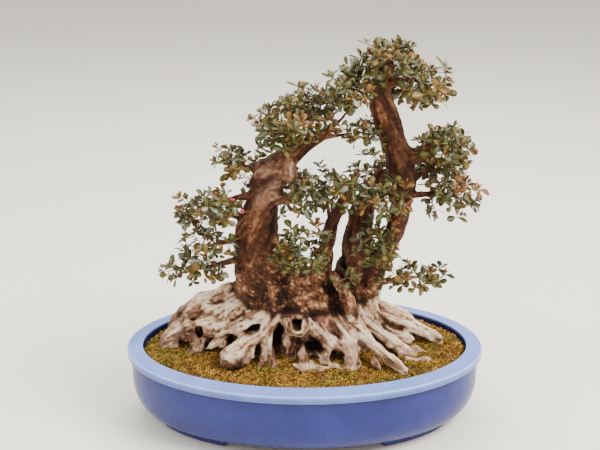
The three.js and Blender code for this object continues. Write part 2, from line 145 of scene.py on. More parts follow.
def new_piece(name, points, faces, slot=None, material=None, fields={}, smooth=True):
    """An object from millimetre points and equal-sided faces. With a slot it is one of the part's pieces."""
    mesh = bpy.data.meshes.new(name)
    count, sides = faces.shape
    mesh.vertices.add(len(points))
    mesh.vertices.foreach_set("co", (points * MM).astype(np.float32).ravel())
    mesh.loops.add(count * sides)
    mesh.loops.foreach_set("vertex_index", faces.astype(np.int32).ravel())
    mesh.polygons.add(count)
    mesh.polygons.foreach_set("loop_start", np.arange(0, count * sides, sides, dtype=np.int32))
    mesh.polygons.foreach_set("use_smooth", np.full(count, smooth))
    add_fields(mesh, fields)
    mesh.update(calc_edges=True)
    mesh.validate()
    if material:
        mesh.materials.append(material)
    piece = shown(name, mesh)
    if slot:
        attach(piece, BODY)
    return piece


def tube_quads(sides, rings):
    """Quads of a closed tube: round each pair of rings, then over its two ends."""
    ring = np.arange(rings - 1)[:, None] * sides
    along = np.arange(sides)[None, :]
    after = (along + 1) % sides
    quads = np.stack([ring + along, ring + after, ring + sides + after, ring + sides + along], axis=-1)
    fan = np.array([(0, k, k + 1, k + 2) for k in range(1, sides - 2, 2)])
    return np.vstack([quads.reshape(-1, 4), fan[:, ::-1], fan + (rings - 1) * sides])


# ------------------------------------------------------------------ materials

def set_inputs(tree, node, inputs):
    """Sets a node's sockets by name or number: to a value, or linked to another node's output."""
    for key, value in inputs.items():
        if isinstance(value, bpy.types.NodeSocket):
            tree.links.new(value, node.inputs[key])
        else:
            node.inputs[key].default_value = value


def add_node(tree, kind, inputs, output=0, **settings):
    """A shader node's output."""
    node = tree.nodes.new(kind)
    for key, value in settings.items():
        setattr(node, key, value)
    set_inputs(tree, node, inputs)
    return node.outputs[output]


def new_material(name, inputs_of):
    """A material whose main shader's sockets are what inputs_of(tree) says."""
    material = bpy.data.materials.new(name)
    material.use_nodes = True
    tree = material.node_tree
    set_inputs(tree, tree.nodes["Principled BSDF"], inputs_of(tree))
    return material


def field_of(tree, name):
    return add_node(tree, "ShaderNodeAttribute", {}, "Fac", attribute_name=name)


def noise_of(tree, scale, detail=4.0, roughness=0.55, stretch=None):
    """Noise in the object's own metres; stretch scales each axis."""
    place = add_node(tree, "ShaderNodeTexCoord", {}, "Object")
    if stretch:
        place = add_node(tree, "ShaderNodeMapping", {"Vector": place, "Scale": stretch})
    inputs = {"Vector": place, "Scale": scale, "Detail": detail, "Roughness": roughness}
    return add_node(tree, "ShaderNodeTexNoise", inputs, "Fac")


def ramp_of(tree, value, *stops):
    """A colour ramp: stops are (place, red, green, blue)."""
    ramp = add_node(tree, "ShaderNodeValToRGB", {"Fac": value})
    elements = ramp.node.color_ramp.elements
    while len(elements) < len(stops):
        elements.new(0.5)
    for element, (place, *colour) in zip(elements, stops):
        element.position = place
        element.color = (*colour, 1)
    return ramp


def mix_of(tree, share, first, second):
    """The first colour where share is 0 and the second where it is 1."""
    first, second = ((*c, 1) if isinstance(c, tuple) else c for c in (first, second))
    return add_node(tree, "ShaderNodeMix", {0: share, 6: first, 7: second}, 2, data_type="RGBA")


def math_of(tree, operation, first, second, clamp=False):
    return add_node(tree, "ShaderNodeMath", {0: first, 1: second}, operation=operation, use_clamp=clamp)


def sum_of(tree, *terms):
    """The sum of (value, weight) pairs."""
    total = 0.0
    for value, weight in terms:
        total = add_node(tree, "ShaderNodeMath", {0: value, 1: weight, 2: total}, operation="MULTIPLY_ADD")
    return total


def span_of(tree, value, low, high, to_low, to_high):
    inputs = {"Value": value, "From Min": low, "From Max": high, "To Min": to_low, "To Max": to_high}
    return add_node(tree, "ShaderNodeMapRange", inputs)


def bump_of(tree, height, distance, strength):
    inputs = {"Height": height, "Distance": distance, "Strength": strength}
    return add_node(tree, "ShaderNodeBump", inputs)


def glaze(tree):
    """Periwinkle glaze: thin and pale over the edges, deeper where it pools, mottled; the rim's top painted
    paler as a highlight.
    """
    clouds = noise_of(tree, 22, 5, 0.6)
    specks = span_of(tree, noise_of(tree, 420, 2, 0.5), 0.66, 0.76, 0.0, 0.35)
    body = ramp_of(
        tree, clouds, (0.3, 0.008, 0.014, 0.135), (0.5, 0.011, 0.019, 0.165), (0.7, 0.016, 0.028, 0.205))
    body = mix_of(tree, specks, body, (0.05, 0.08, 0.36))
    # edge: thin glaze over the edges, and a painted highlight over the rim's top
    edge = math_of(tree, "ADD", field_of(tree, "edge"), span_of(tree, clouds, 0.3, 0.7, -0.16, 0.03), True)
    colour = mix_of(tree, edge, body, (0.31, 0.46, 1.0))
    bare = field_of(tree, "bare")
    clay = ramp_of(tree, noise_of(tree, 300, 3), (0.3, 0.12, 0.075, 0.05), (0.7, 0.22, 0.15, 0.10))
    gloss = span_of(tree, noise_of(tree, 60, 3, 0.5, (1, 1, 0.25)), 0.3, 0.7, 0.20, 0.32)
    return {
        "Base Color": mix_of(tree, bare, colour, clay),
        "Roughness": math_of(tree, "MAXIMUM", gloss, math_of(tree, "MULTIPLY", bare, 0.8)),
        "Specular IOR Level": 0.34,
        "Normal": bump_of(tree, noise_of(tree, 90, 3, 0.5), 0.0004, 0.35),
    }


def wood(tree):
    """Pale weathered roots, crumbling orange-brown bark over them, and red-brown bark on the trunks."""
    # grain and wart also carry painted shade: darker in crevices and along the crease under the bark
    grain = field_of(tree, "grain")
    fine = noise_of(tree, 800, 5, 0.7)
    spots = noise_of(tree, 230, 4, 0.65)
    patch = noise_of(tree, 42, 4, 0.6)
    mixed = sum_of(tree, (grain, 0.46), (spots, 0.32), (fine, 0.22))
    root = ramp_of(
        tree, mixed, (0.29, 0.055, 0.020, 0.009), (0.41, 0.33, 0.165, 0.085),
        (0.50, 0.66, 0.46, 0.285), (0.63, 0.95, 0.81, 0.60))
    root = mix_of(tree, span_of(tree, patch, 0.50, 0.66, 0.0, 0.55), root, (0.48, 0.20, 0.12))
    earth = ramp_of(
        tree, mixed, (0.30, 0.018, 0.007, 0.003), (0.48, 0.12, 0.045, 0.020), (0.70, 0.40, 0.22, 0.12))
    bark = ramp_of(
        tree, sum_of(tree, (grain, 0.30), (spots, 0.38), (fine, 0.32)), (0.34, 0.008, 0.002, 0.001),
        (0.47, 0.058, 0.016, 0.005), (0.58, 0.155, 0.050, 0.017), (0.74, 0.46, 0.23, 0.115))
    bark = mix_of(tree, span_of(tree, patch, 0.48, 0.66, 0.0, 0.6), bark, (0.055, 0.018, 0.008))
    warts = ramp_of(
        tree, sum_of(tree, (field_of(tree, "wart"), 0.6), (fine, 0.4)), (0.26, 0.014, 0.004, 0.002),
        (0.40, 0.10, 0.034, 0.012), (0.54, 0.29, 0.12, 0.050), (0.72, 0.74, 0.47, 0.27))
    warts = mix_of(tree, span_of(tree, patch, 0.50, 0.70, 0.0, 0.5), warts, (0.07, 0.022, 0.009))
    # pale: the scar's colour, also painted over the trunk's shoulder as worn bark and as a highlight
    pale = ramp_of(
        tree, mixed, (0.32, 0.09, 0.036, 0.018), (0.48, 0.28, 0.145, 0.085), (0.66, 0.50, 0.33, 0.22))
    sawn = ramp_of(tree, spots, (0.35, 0.10, 0.040, 0.018), (0.65, 0.36, 0.18, 0.085))
    colour = root
    for field, over in (
        ("stain", earth), ("bark", bark), ("rough", warts), ("scar_and_highlight", pale), ("cut", sawn),
        # painted shade: near-black over the wood dug into its hollows
        ("hollow_shade", (0.012, 0.005, 0.002)),
    ):
        colour = mix_of(tree, field_of(tree, field), colour, over)
    height = sum_of(tree, (grain, 1.0), (spots, 1.0), (fine, 0.8))
    return {
        "Base Color": colour, "Roughness": 0.78, "Specular IOR Level": 0.3,
        "Normal": bump_of(tree, height, 0.0018, 0.9),
    }


def plain_material(name, scale, dark, pale, rough, bump=0.0, more={}):
    """Fine noise between two colours, with a little bump. more sets other sockets of the shader."""
    def plain(tree):
        fine = noise_of(tree, scale, 3)
        inputs = {
            "Base Color": ramp_of(tree, fine, (0.3, *dark), (0.7, *pale)),
            "Roughness": span_of(tree, fine, 0.3, 0.7, *rough),
        }
        if bump:
            inputs["Normal"] = bump_of(tree, fine, bump, 0.5)
        return {**inputs, **more}

    return new_material(name, plain)


def leaf(tree):
    """Leathery leaves: dark olive, bronzed or reddened where the leaf's tint says, paler below, and some
    painted pale as a sheen.
    """
    tint = field_of(tree, "tint")
    blotch = noise_of(tree, 380, 3, 0.6)
    green = ramp_of(
        tree, blotch, (0.3, 0.004, 0.009, 0.001), (0.55, 0.018, 0.027, 0.001), (0.8, 0.070, 0.080, 0.004))
    warm = ramp_of(
        tree, tint, (0.0, 0.026, 0.036, 0.002), (0.3, 0.10, 0.072, 0.003), (0.55, 0.21, 0.085, 0.004),
        (0.8, 0.22, 0.040, 0.005), (1.0, 0.22, 0.012, 0.008))
    colour = mix_of(tree, span_of(tree, tint, 0.15, 0.45, 0.0, 1.0), green, warm)
    colour = mix_of(tree, math_of(tree, "MULTIPLY", field_of(tree, "vein"), 0.5), colour, (0.20, 0.19, 0.05))
    colour = mix_of(tree, field_of(tree, "below"), colour, mix_of(tree, 0.45, colour, (0.20, 0.19, 0.08)))
    return {
        # painted sheen: the pale field makes some leaves pale grey-green for the sky's reflection on them
        "Base Color": mix_of(tree, field_of(tree, "pale"), colour, (0.34, 0.37, 0.26)),
        "Roughness": span_of(tree, blotch, 0.3, 0.7, 0.26, 0.44), "Specular IOR Level": 0.36,
        "Subsurface Weight": 0.06, "Subsurface Radius": (0.0006, 0.0009, 0.0002),
        "Normal": bump_of(tree, noise_of(tree, 900, 2, 0.5), 0.0002, 0.4),
    }


def moss(tree):
    """Dry moss in late season: ochre and olive tips over dark brown."""
    grain = noise_of(tree, 750, 3, 0.7)
    tone = sum_of(tree, (field_of(tree, "height"), 0.55), (grain, 0.5))
    dry = ramp_of(
        tree, tone, (0.32, 0.012, 0.004, 0.001), (0.44, 0.11, 0.045, 0.007),
        (0.58, 0.33, 0.175, 0.028), (0.76, 0.72, 0.48, 0.12))
    olive = ramp_of(
        tree, tone, (0.32, 0.008, 0.005, 0.001), (0.44, 0.060, 0.042, 0.005),
        (0.58, 0.18, 0.135, 0.016), (0.76, 0.46, 0.37, 0.07))
    colour = mix_of(tree, span_of(tree, noise_of(tree, 30, 4, 0.65), 0.46, 0.60, 0.0, 0.9), dry, olive)
    bald = span_of(tree, noise_of(tree, 55, 5, 0.7), 0.54, 0.66, 0.0, 0.7)
    return {
        "Base Color": mix_of(tree, bald, colour, (0.085, 0.036, 0.012)), "Roughness": 0.95,
        "Specular IOR Level": 0.15, "Normal": bump_of(tree, grain, 0.0012, 0.9),
    }


def grain_material(name, scale, rough, bump, *stops):
    """Loose grains: cells of differing tone with dark gaps."""
    def grains(tree):
        place = add_node(tree, "ShaderNodeTexCoord", {}, "Object")
        cells = add_node(tree, "ShaderNodeTexVoronoi", {"Vector": place, "Scale": scale}, "Color")
        gap = math_of(tree, "SUBTRACT", 1.0, cells.node.outputs["Distance"])
        return {
            "Base Color": ramp_of(tree, cells, *stops), "Roughness": rough,
            "Normal": bump_of(tree, gap, bump, 1.0),
        }

    return new_material(name, grains)


# ------------------------------------------------------------------ pot

# Millimetres. A ring of the oval is given by r, its half-length. The rim's size is the CAD pot's.
RIM_R, RIM_DEPTH, RIM_TOP = np.round(arrays_of("pot")[0].max(0), 2)
OVAL_DIFFERENCE = RIM_R - RIM_DEPTH     # a ring's half-length less its half-depth
MIDDLE_R = 157.5                        # in rings smaller than this, depth is a share of length instead
MIDDLE_RATIO = (MIDDLE_R - OVAL_DIFFERENCE) / MIDDLE_R
POT_STEPS = 288
UNDERSIDE = 9.0
INNER_FLOOR = 17.0
BASE_R = RIM_R - 27                     # where the underside turns up into the wall
INNER_BASE_R = RIM_R - 37.5
TURN_R = 23.0                           # how far the foot of the wall curves out
TURN_TOP = 48.0
WALL_TOP = RIM_TOP - 10.5
MOUTH_R = RIM_R - 17.5
FOOT_INNER_R = BASE_R - 15
FOOT_ENDS = (26, 60)                    # degrees along the oval
FOOT_LEVELS = ((0.0, 1.2), (0.35, 0.4), (1.3, 0.0), (9.0, -0.3), (12.5, -0.3))  # height, easing
DRAIN_X = 85.0
DRAIN_R = 12.0
BARE_TOP = 68.0                         # the inner wall is unglazed below this
# Edges where the glaze runs thin and pale: r, height, width and strength.
GLAZE_EDGES = ((199.6, 83.6, 2.2, 1.0), (199.6, 76.2, 1.5, 0.7), (183, 85.7, 1.8, 0.9))


def oval_depth(r):
    return np.maximum(r - OVAL_DIFFERENCE, r * MIDDLE_RATIO)


def arc_corners(corners):
    """A line of (r, z) points through corners given as (r, z, rounding radius)."""
    line = []
    for index, (r, z, radius) in enumerate(corners):
        here = np.array((r, z))
        if radius == 0 or index in (0, len(corners) - 1):
            line.append(here)
            continue
        before = np.array(corners[index - 1][:2]) - here
        after = np.array(corners[index + 1][:2]) - here
        reach = min(radius, lengths_of(before) / 2.05, lengths_of(after) / 2.05)
        start = here + unit(before) * reach
        end = here + unit(after) * reach
        for share in np.linspace(0, 1, 6):
            line.append((1 - share) ** 2 * start + 2 * share * (1 - share) * here + share ** 2 * end)
    return np.array(line)


def pot_profile():
    """From the underside, up the outer wall, over the rim, and down to the inner floor."""
    under = [(r, UNDERSIDE) for r in (60, 110, 150, 168)]
    wall = []
    for angle in np.linspace(math.pi / 2, 0, 22):
        wall.append((BASE_R + TURN_R * math.cos(angle), TURN_TOP - (TURN_TOP - UNDERSIDE) * math.sin(angle)))
    for z in np.linspace(52, 73, 6):
        wall.append((BASE_R + TURN_R - 2 * ((z - TURN_TOP) / (WALL_TOP - TURN_TOP)) ** 2, z))
    rim = arc_corners([
        (194.2, 73.4, 0), (194, WALL_TOP, 1.6), (RIM_R, 75.7, 1.7), (RIM_R + 0.2, 84, 2.0),
        (MOUTH_R, RIM_TOP, 1.5), (MOUTH_R, 82, 0),
    ])
    inside = []
    for angle in np.linspace(0.25, math.pi / 2, 12):
        drop = (TURN_TOP - INNER_FLOOR) * math.sin(angle)
        inside.append((INNER_BASE_R + TURN_R * math.cos(angle), TURN_TOP - drop))
    floor = [(r, INNER_FLOOR) for r in (157, 110, 60)]
    return np.array(under + wall + rim.tolist() + inside + floor)


def turned(profile, steps):
    """Rings round the oval, as millimetre points and quads."""
    angles = np.linspace(0, 2 * math.pi, steps, endpoint=False)
    r = profile[:, 0][:, None]
    x = r * np.cos(angles)
    y = oval_depth(r) * np.sin(angles)
    z = np.broadcast_to(profile[:, 1][:, None], x.shape)
    return np.stack([x, y, z], axis=-1).reshape(-1, 3), tube_quads(steps, len(profile))


def foot_mesh(name, quadrant):
    """One foot: a length of the oval's edge with eased lower edges."""
    first, last = np.radians(FOOT_ENDS)
    rings = []
    for z, ease in FOOT_LEVELS:
        turn = np.radians(ease * 0.35)
        swept = np.linspace(first + turn, last - turn, 25)
        outline = []
        for r, order in ((BASE_R - ease, 1), (FOOT_INNER_R + ease, -1)):
            level = np.full(len(swept), z)
            ring = np.stack([r * np.cos(swept), oval_depth(r) * np.sin(swept), level], axis=1)
            outline.append(ring[::order])
        rings.append(np.concatenate(outline) * (*quadrant, 1))
    count = len(rings[0])
    top = (len(rings) - 1) * count
    faces = [list(range(count))[::-1], list(range(top, top + count))]
    for low in range(0, top, count):
        for i in range(count):
            j = (i + 1) % count
            faces.append([low + i, low + j, low + count + j, low + count + i])
    if quadrant[0] * quadrant[1] < 0:
        faces = [face[::-1] for face in faces]
    mesh = bpy.data.meshes.new(name)
    mesh.from_pydata(np.concatenate(rings) * MM, [], faces)
    return shown(name, mesh)


def ring_of(points):
    """The half-length of the oval ring through each point."""
    low = np.full(len(points), 80.0)
    high = np.full(len(points), 210.0)
    for _ in range(24):
        middle = (low + high) / 2
        inside = (points[:, 0] / middle) ** 2 + (points[:, 1] / oval_depth(middle)) ** 2 < 1
        high = np.where(inside, middle, high)
        low = np.where(inside, low, middle)
    return (low + high) / 2


def glaze_fields(place):
    """Where the glaze is thin over an edge, where the rim's top is painted paler as a highlight, and where
    the clay is bare.
    """
    ring = ring_of(place)
    height = place[:, 2]
    # painted highlight: the rim's flat top is made paler for the sky's light on it
    edge = smoothstep(height, 83.5, 84.5) * 0.62
    for r, z, width, strength in GLAZE_EDGES:
        gap = np.hypot(ring - r, height - z)
        edge = np.maximum(edge, strength * np.exp(-(gap / width) ** 2))
    feet = smoothstep(-height, -1.6, -0.4)
    below = (height > UNDERSIDE - 0.1) * (ring < BASE_R - 1)
    below = below * smoothstep(-height, -UNDERSIDE - 0.6, -UNDERSIDE - 0.1)
    hole = np.hypot(np.abs(place[:, 0]) - DRAIN_X, place[:, 1]) < DRAIN_R + 0.3
    inside = (ring < MOUTH_R + 4) * (height < BARE_TOP) * (height > INNER_FLOOR - 0.5) * (ring > 80)
    floor = np.abs(height - INNER_FLOOR) < 0.5
    return {"edge": edge, "bare": np.clip(feet + below + hole + inside + floor, 0, 1)}


def make_pot():
    shell = new_piece("pot_shell", *turned(pot_profile(), POT_STEPS))
    tools = [(foot_mesh(f"foot_{x}_{y}", (x, y)), "UNION") for x in (-1, 1) for y in (-1, 1)]
    for side in (-1, 1):
        middle = (side * DRAIN_X * MM, 0, 13 * MM)
        bpy.ops.mesh.primitive_cylinder_add(vertices=64, radius=DRAIN_R * MM, depth=30 * MM, location=middle)
        tools.append((bpy.context.object, "DIFFERENCE"))
    for tool, operation in tools:
        cut = shell.modifiers.new(operation.lower(), "BOOLEAN")
        cut.object = tool
        cut.operation = operation
        cut.solver = "EXACT"
    finished = bpy.data.meshes.new_from_object(shell.evaluated_get(bpy.context.evaluated_depsgraph_get()))
    for piece in [shell] + [tool for tool, _ in tools]:
        bpy.data.objects.remove(piece)
    place = np.empty(len(finished.vertices) * 3)
    finished.vertices.foreach_get("co", place)
    add_fields(finished, glaze_fields(place.reshape(-1, 3) / MM))
    finished.materials.clear()
    finished.materials.append(new_material("pot_glaze", glaze))
    finished.polygons.foreach_set("use_smooth", np.ones(len(finished.polygons), dtype=bool))
    finished.set_sharp_from_angle(angle=math.radians(38))
    pot = shown("glazed_pot", finished)
    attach(pot, BODY)
    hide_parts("pot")


# ------------------------------------------------------------------ wood

VOXEL = 1.3
BAND = 9            # voxels on each side of a surface
FAR = 12.0          # millimetres: distances past this make no difference
FUSE = 4.2          # gaps up to twice this wide close between the roots
BASE_ZONE = (136, 176)      # the heights over which the root base gives way to the trunks
SOIL_ZONE = (84, 104)       # the heights over which roots swell on their way down into the moss


def level_set(points, faces, spacing=VOXEL):
    """The signed distance from a closed surface, in millimetres, near that surface."""
    corners = {"triangles" if faces.shape[1] == 3 else "quads": faces.astype(np.uint32)}
    place = openvdb.createLinearTransform(voxelSize=spacing)
    return openvdb.FloatGrid.createLevelSetFromPolygons(
        points.astype(np.float32), transform=place, halfWidth=BAND, **corners)


def skin_of(grid):
    """Points and quads of a grid's surface."""
    points, quads = grid.convertToQuads(isovalue=0.0)
    return points.astype(float), quads.astype(np.int64)[:, ::-1]


def dense(grid, low, shape):
    """The grid's values in an array whose first value is at voxel low."""
    values = np.empty(shape, dtype=np.float32)
    grid.copyToArray(values, ijk=low)
    return values


def surface_of(values, low):
    """Points and quads of the surface through an array of distances."""
    grid = openvdb.FloatGrid(float(VOXEL * BAND))
    grid.transform = openvdb.createLinearTransform(voxelSize=VOXEL)
    grid.copyFromArray(values.astype(np.float32), ijk=low)
    return skin_of(grid)


def blurred(values, rounds):
    for _ in range(rounds):
        for axis in range(3):
            values = (np.roll(values, 1, axis) + 2 * values + np.roll(values, -1, axis)) / 4
    return values


def looked_up(values, low, points, spacing=VOXEL):
    """Values of a grid at points, blended between its nearest cells."""
    place = points / spacing - low
    cell = np.clip(np.floor(place).astype(int), 0, np.array(values.shape[:3]) - 2)
    total = 0
    for corner, weight in cell_corners(np.clip(place - cell, 0, 1)):
        found = values[tuple((cell + corner).T)]
        total = total + (weight[:, None] if found.ndim > 1 else weight) * found
    return total


def coarse_at(values, low, points):
    """The same for a grid that holds every second voxel."""
    return looked_up(values, low / 2, points, VOXEL * 2)


def vertex_normals(points, quads):
    facing = np.cross(points[quads[:, 2]] - points[quads[:, 0]], points[quads[:, 3]] - points[quads[:, 1]])
    normals = np.zeros_like(points)
    for corner in range(4):
        for axis in range(3):
            normals[:, axis] += np.bincount(quads[:, corner], facing[:, axis], len(points))
    return unit(normals)


# Hollows between and through the roots, and the hollow below the fork of the trunks: middle, half sizes,
# and how far each leans (degrees about Y).
HOLLOWS = [
    ((-28, -34, 112), (5.5, 26, 15), 14),
    ((-9, -40, 127), (6, 26, 5.5), 25),
    ((-116, -10, 106), (6, 16, 7), -25),
    ((-56, -32, 117), (11, 20, 5.5), -28),
    ((-62, -42, 86), (13, 20, 6), -10),
    ((-100, -26, 88), (9, 16, 6), -10),
    ((92, -26, 86), (15, 16, 5.5), 16),
    ((64, -44, 90), (10, 18, 8), 28),
    ((10, -46, 100), (11, 22, 7), 18),
    ((34, -48, 94), (8, 18, 8), -20),
    ((126, -6, 84), (14, 12, 5), 8),
    ((110, 32, 92), (14, 12, 5), 8),
    ((2, -56, 168), (11, 17, 22), 10),
    ((-8, -50, 150), (3.2, 15, 20), 14),
    ((34, -46, 168), (6, 16, 17), -16),
    ((-36, -44, 150), (2.6, 10, 12), 35),
    ((36.5, 0, 190), (3.6, 40, 17), -14),
]
# Wood taken off the CAD wood's surface, in the same way.
TRIMS = [
    ((-56, -66, 99), (11, 20, 12), 30),
    ((-100, -50, 84), (9, 16, 6), 0),
    ((-134, -30, 92), (9, 16, 9), 30),
    ((4, -70, 92), (7, 16, 8), 0),
]
# Wood added to the CAD wood's surface, as lines of (x, y, z, radius): swollen root ends, fine roots over
# the moss, knots and old stubs.
SWELLINGS = [
    [(-76, -51, 97, 6), (-82, -58, 91, 8)],
    [(-42, -40, 100, 6), (-47, -50, 88, 5), (-58, -60, 81, 3.5)],
    [(-38, -42, 98, 5), (-34, -54, 86, 4), (-30, -62, 80, 3)],
    [(-18, -46, 108, 4.5), (-17, -52, 96, 3.5), (-23, -60, 84, 2.6), (-34, -66, 81, 1.8)],
    [(-2, -52, 94, 4), (8, -59, 85, 3.4), (19, -62, 83, 2.6), (30, -58, 84, 3.2)],
    [(24, -50, 96, 5), (28, -57, 88, 4), (42, -63, 83, 3), (52, -60, 84, 3.6)],
    [(-10, -56, 84, 2.4), (2, -66, 83, 2.0), (16, -70, 82, 1.8)],
    [(-52, -58, 82, 2.4), (-44, -66, 82, 2.2), (-26, -70, 81, 1.7)],
    [(34, -60, 84, 2.6), (32, -70, 82, 2.2), (44, -76, 81, 1.7)],
    [(60, -56, 84, 2.6), (66, -66, 83, 2.2), (84, -72, 82, 1.7)],
    [(112, -40, 83, 2.6), (126, -42, 83, 2.2), (142, -36, 81, 1.7)],
    [(-116, -36, 83, 2.6), (-122, -48, 82, 2.0), (-112, -58, 81, 1.7)],
    [(-146, -8, 84, 3), (-156, -18, 82, 2.2), (-150, -30, 81, 1.7)],
    [(46, -50, 96, 6), (54, -60, 85, 5), (50, -69, 80, 3.5)],
    [(60, -44, 96, 5), (72, -50, 86, 4.5), (78, -60, 81, 3)],
    [(82, 16, 96, 10), (112, 20, 88, 8), (148, 18, 82, 6.5)],
    [(92, 4, 96, 8), (118, -10, 86, 6.5), (138, -20, 80, 4.5)],
    [(108, -30, 88, 6), (122, -22, 84, 5), (134, -26, 80, 4)],
    [(96, -58, 90, 6.5), (106, -66, 83, 5)],
    [(-110, -10, 104, 9), (-120, -24, 90, 7), (-128, -30, 82, 6)],
    [(-96, -24, 98, 7), (-108, -38, 84, 6), (-104, -46, 80, 5)],
    [(-140, 8, 100, 9), (-152, 0, 88, 8.5), (-158, -6, 80, 7)],
    [(-66, -34, 104, 7), (-76, -46, 98, 6.5)],
    [(-62, -30, 118, 9), (-90, -22, 112, 10), (-122, -8, 104, 9.5), (-144, 6, 95, 8)],
    [(-20, -46, 134, 4.5), (-14, -50, 120, 4.0), (-3, -50, 120, 4.0), (3, -48, 134, 4.5)],
    [(4, -40, 122, 8), (22, -44, 112, 7), (40, -46, 102, 6)],
    [(40, 66, 88, 8), (30, 84, 80, 5)],
    [(-30, 70, 88, 8), (-36, 86, 80, 5)],
    [(30, -27, 178, 4.5), (38, -33, 166, 5.5), (46, -36, 150, 6), (52, -38, 134, 6)],
    [(-64, -22, 172, 9), (-60, -24, 160, 7)],
    [(-40, -26, 196, 6), (-36, -28, 190, 6)],
    [(-66, -10, 226, 7), (-62, -14, 222, 7)],
    [(-52, -14, 278, 8), (-46, -18, 284, 10)],
    [(-18, -16, 293, 10), (-16, -18, 286, 8)],
    [(-34, -14, 262, 8), (-28, -16, 258, 6)],
]
CUT_END = np.array((-83.0, -59.5, 90.0))   # a root sawn off at the front
CUT_FACING = np.array((-0.46, -0.86, -0.22))
SCAR_MIDDLE = (-13, -20, 293)       # a pale scar on the left trunk's arm
LIT_SHOULDER_MIDDLE = (-30, -20, 280)   # the trunk's shoulder, painted pale as worn bark and as a highlight


def dug(points, hollows):
    """How far inside a hollow each point is, in millimetres: above 0 is inside."""
    deepest = np.full(len(points), -99.0)
    for middle, half, lean in hollows:
        turn = math.radians(lean)
        offset = points - middle
        x = offset[:, 0] * math.cos(turn) - offset[:, 2] * math.sin(turn)
        z = offset[:, 0] * math.sin(turn) + offset[:, 2] * math.cos(turn)
        shape = np.stack([x / half[0], offset[:, 1] / half[1], z / half[2]], axis=1)
        deepest = np.maximum(deepest, (1 - lengths_of(shape)) * min(half))
    return deepest


def swelling_distance(points):
    """Signed distance from the added wood."""
    nearest = np.full(len(points), 99.0)
    for line in SWELLINGS:
        for (*start, wide), (*end, narrow) in zip(line, line[1:]):
            start, end = np.array(start, float), np.array(end, float)
            low = np.minimum(start, end) - wide - FAR
            high = np.maximum(start, end) + wide + FAR
            close = np.nonzero(np.all((points > low) & (points < high), axis=1))[0]
            along = end - start
            share = np.clip((points[close] - start) @ along / (along @ along), 0, 1)
            gap = lengths_of(points[close] - start - share[:, None] * along)
            nearest[close] = np.minimum(nearest[close], gap - wide * (1 - share) - narrow * share)
    return nearest


def smooth_minimum(a, b, width):
    blend = np.clip(0.5 + 0.5 * (b - a) / width, 0, 1)
    return b * (1 - blend) + a * blend - width * blend * (1 - blend)


def cut_back(distance, depth):
    """Distances with the wood taken away where depth is above 0."""
    return np.maximum(distance, np.clip(depth, -FAR, FAR))


def grown_wood():
    """The CAD wood with its roots fused where they meet, bent and swollen, and with hollows between them."""
    points, faces = arrays_of("tree")
    grid = level_set(points, faces)
    low = np.floor(points.min(0) / VOXEL).astype(int) - 12
    high = np.ceil(points.max(0) / VOXEL).astype(int) + 12
    shape = tuple(high - low)
    corner = tuple(int(v) for v in low)
    distance = dense(grid, corner, shape)
    closed = dense(level_set(*grid.convertToQuads(isovalue=FUSE)), corner, shape) + FUSE
    height = ((np.arange(shape[2]) + low[2]) * VOXEL)[None, None, :]
    apart = 8 * smoothstep(height, 140, 190)
    values = np.minimum(distance, closed + apart)
    values = np.minimum(blurred(values, 4), values + 0.35)
    thick = blurred(values[::2, ::2, ::2].copy(), 10)

    # bent and knobbled
    near = np.argwhere(np.abs(values) < 11)
    place = (near + low) * VOXEL
    base = 1 - smoothstep(place[:, 2], *BASE_ZONE)
    slender = (coarse_at(thick, low, place) - values[tuple(near.T)] - 0.6) / 3.5
    heavy = np.clip(1 - slender, 0.12, 1)
    bend = np.stack([fractal(place, 30, 2, seed) for seed in (201, 202, 203)], axis=1)
    moved = place + bend * (1.0 + 4.2 * base * (place[:, 2] > 60))[:, None] * heavy[:, None]
    bent = looked_up(values, low, moved)
    bent = smooth_minimum(bent, swelling_distance(place + bend * 1.5), 4.0)
    knobs = fractal(place, 17, 3, 211)
    lumps = fractal(place, 6.5, 2, 221)
    low_down = 1 - smoothstep(place[:, 2], 92, 116)
    bent -= heavy * (knobs * (1.5 + 1.0 * base) + lumps * (0.5 + 0.6 * base + 0.8 * low_down))
    bent -= 1.8 * (1 - smoothstep(place[:, 2], *SOIL_ZONE)) * heavy

    # sawn, trimmed and hollowed
    offset = place - CUT_END
    sawn = np.where(lengths_of(offset) < 22, offset @ CUT_FACING - 5.0, -99)
    twist = value_noises(place, 11, (231, 232, 233))
    bent = cut_back(cut_back(bent, sawn), dug(place + bend * 2 + twist * 2, TRIMS))
    depth = dug(place + bend * 2.5 + twist * 2.6, HOLLOWS) + fractal(place, 9, 2, 77) * 1.2
    values[tuple(near.T)] = bent
    whole = values[::2, ::2, ::2].copy()
    values[tuple(near.T)] = np.where(place[:, 2] < 215, cut_back(bent, depth), bent)
    values = blurred(values, 1)
    coarse = values[::2, ::2, ::2].copy()
    return *surface_of(values, corner), blurred(coarse, 10), coarse, whole, low


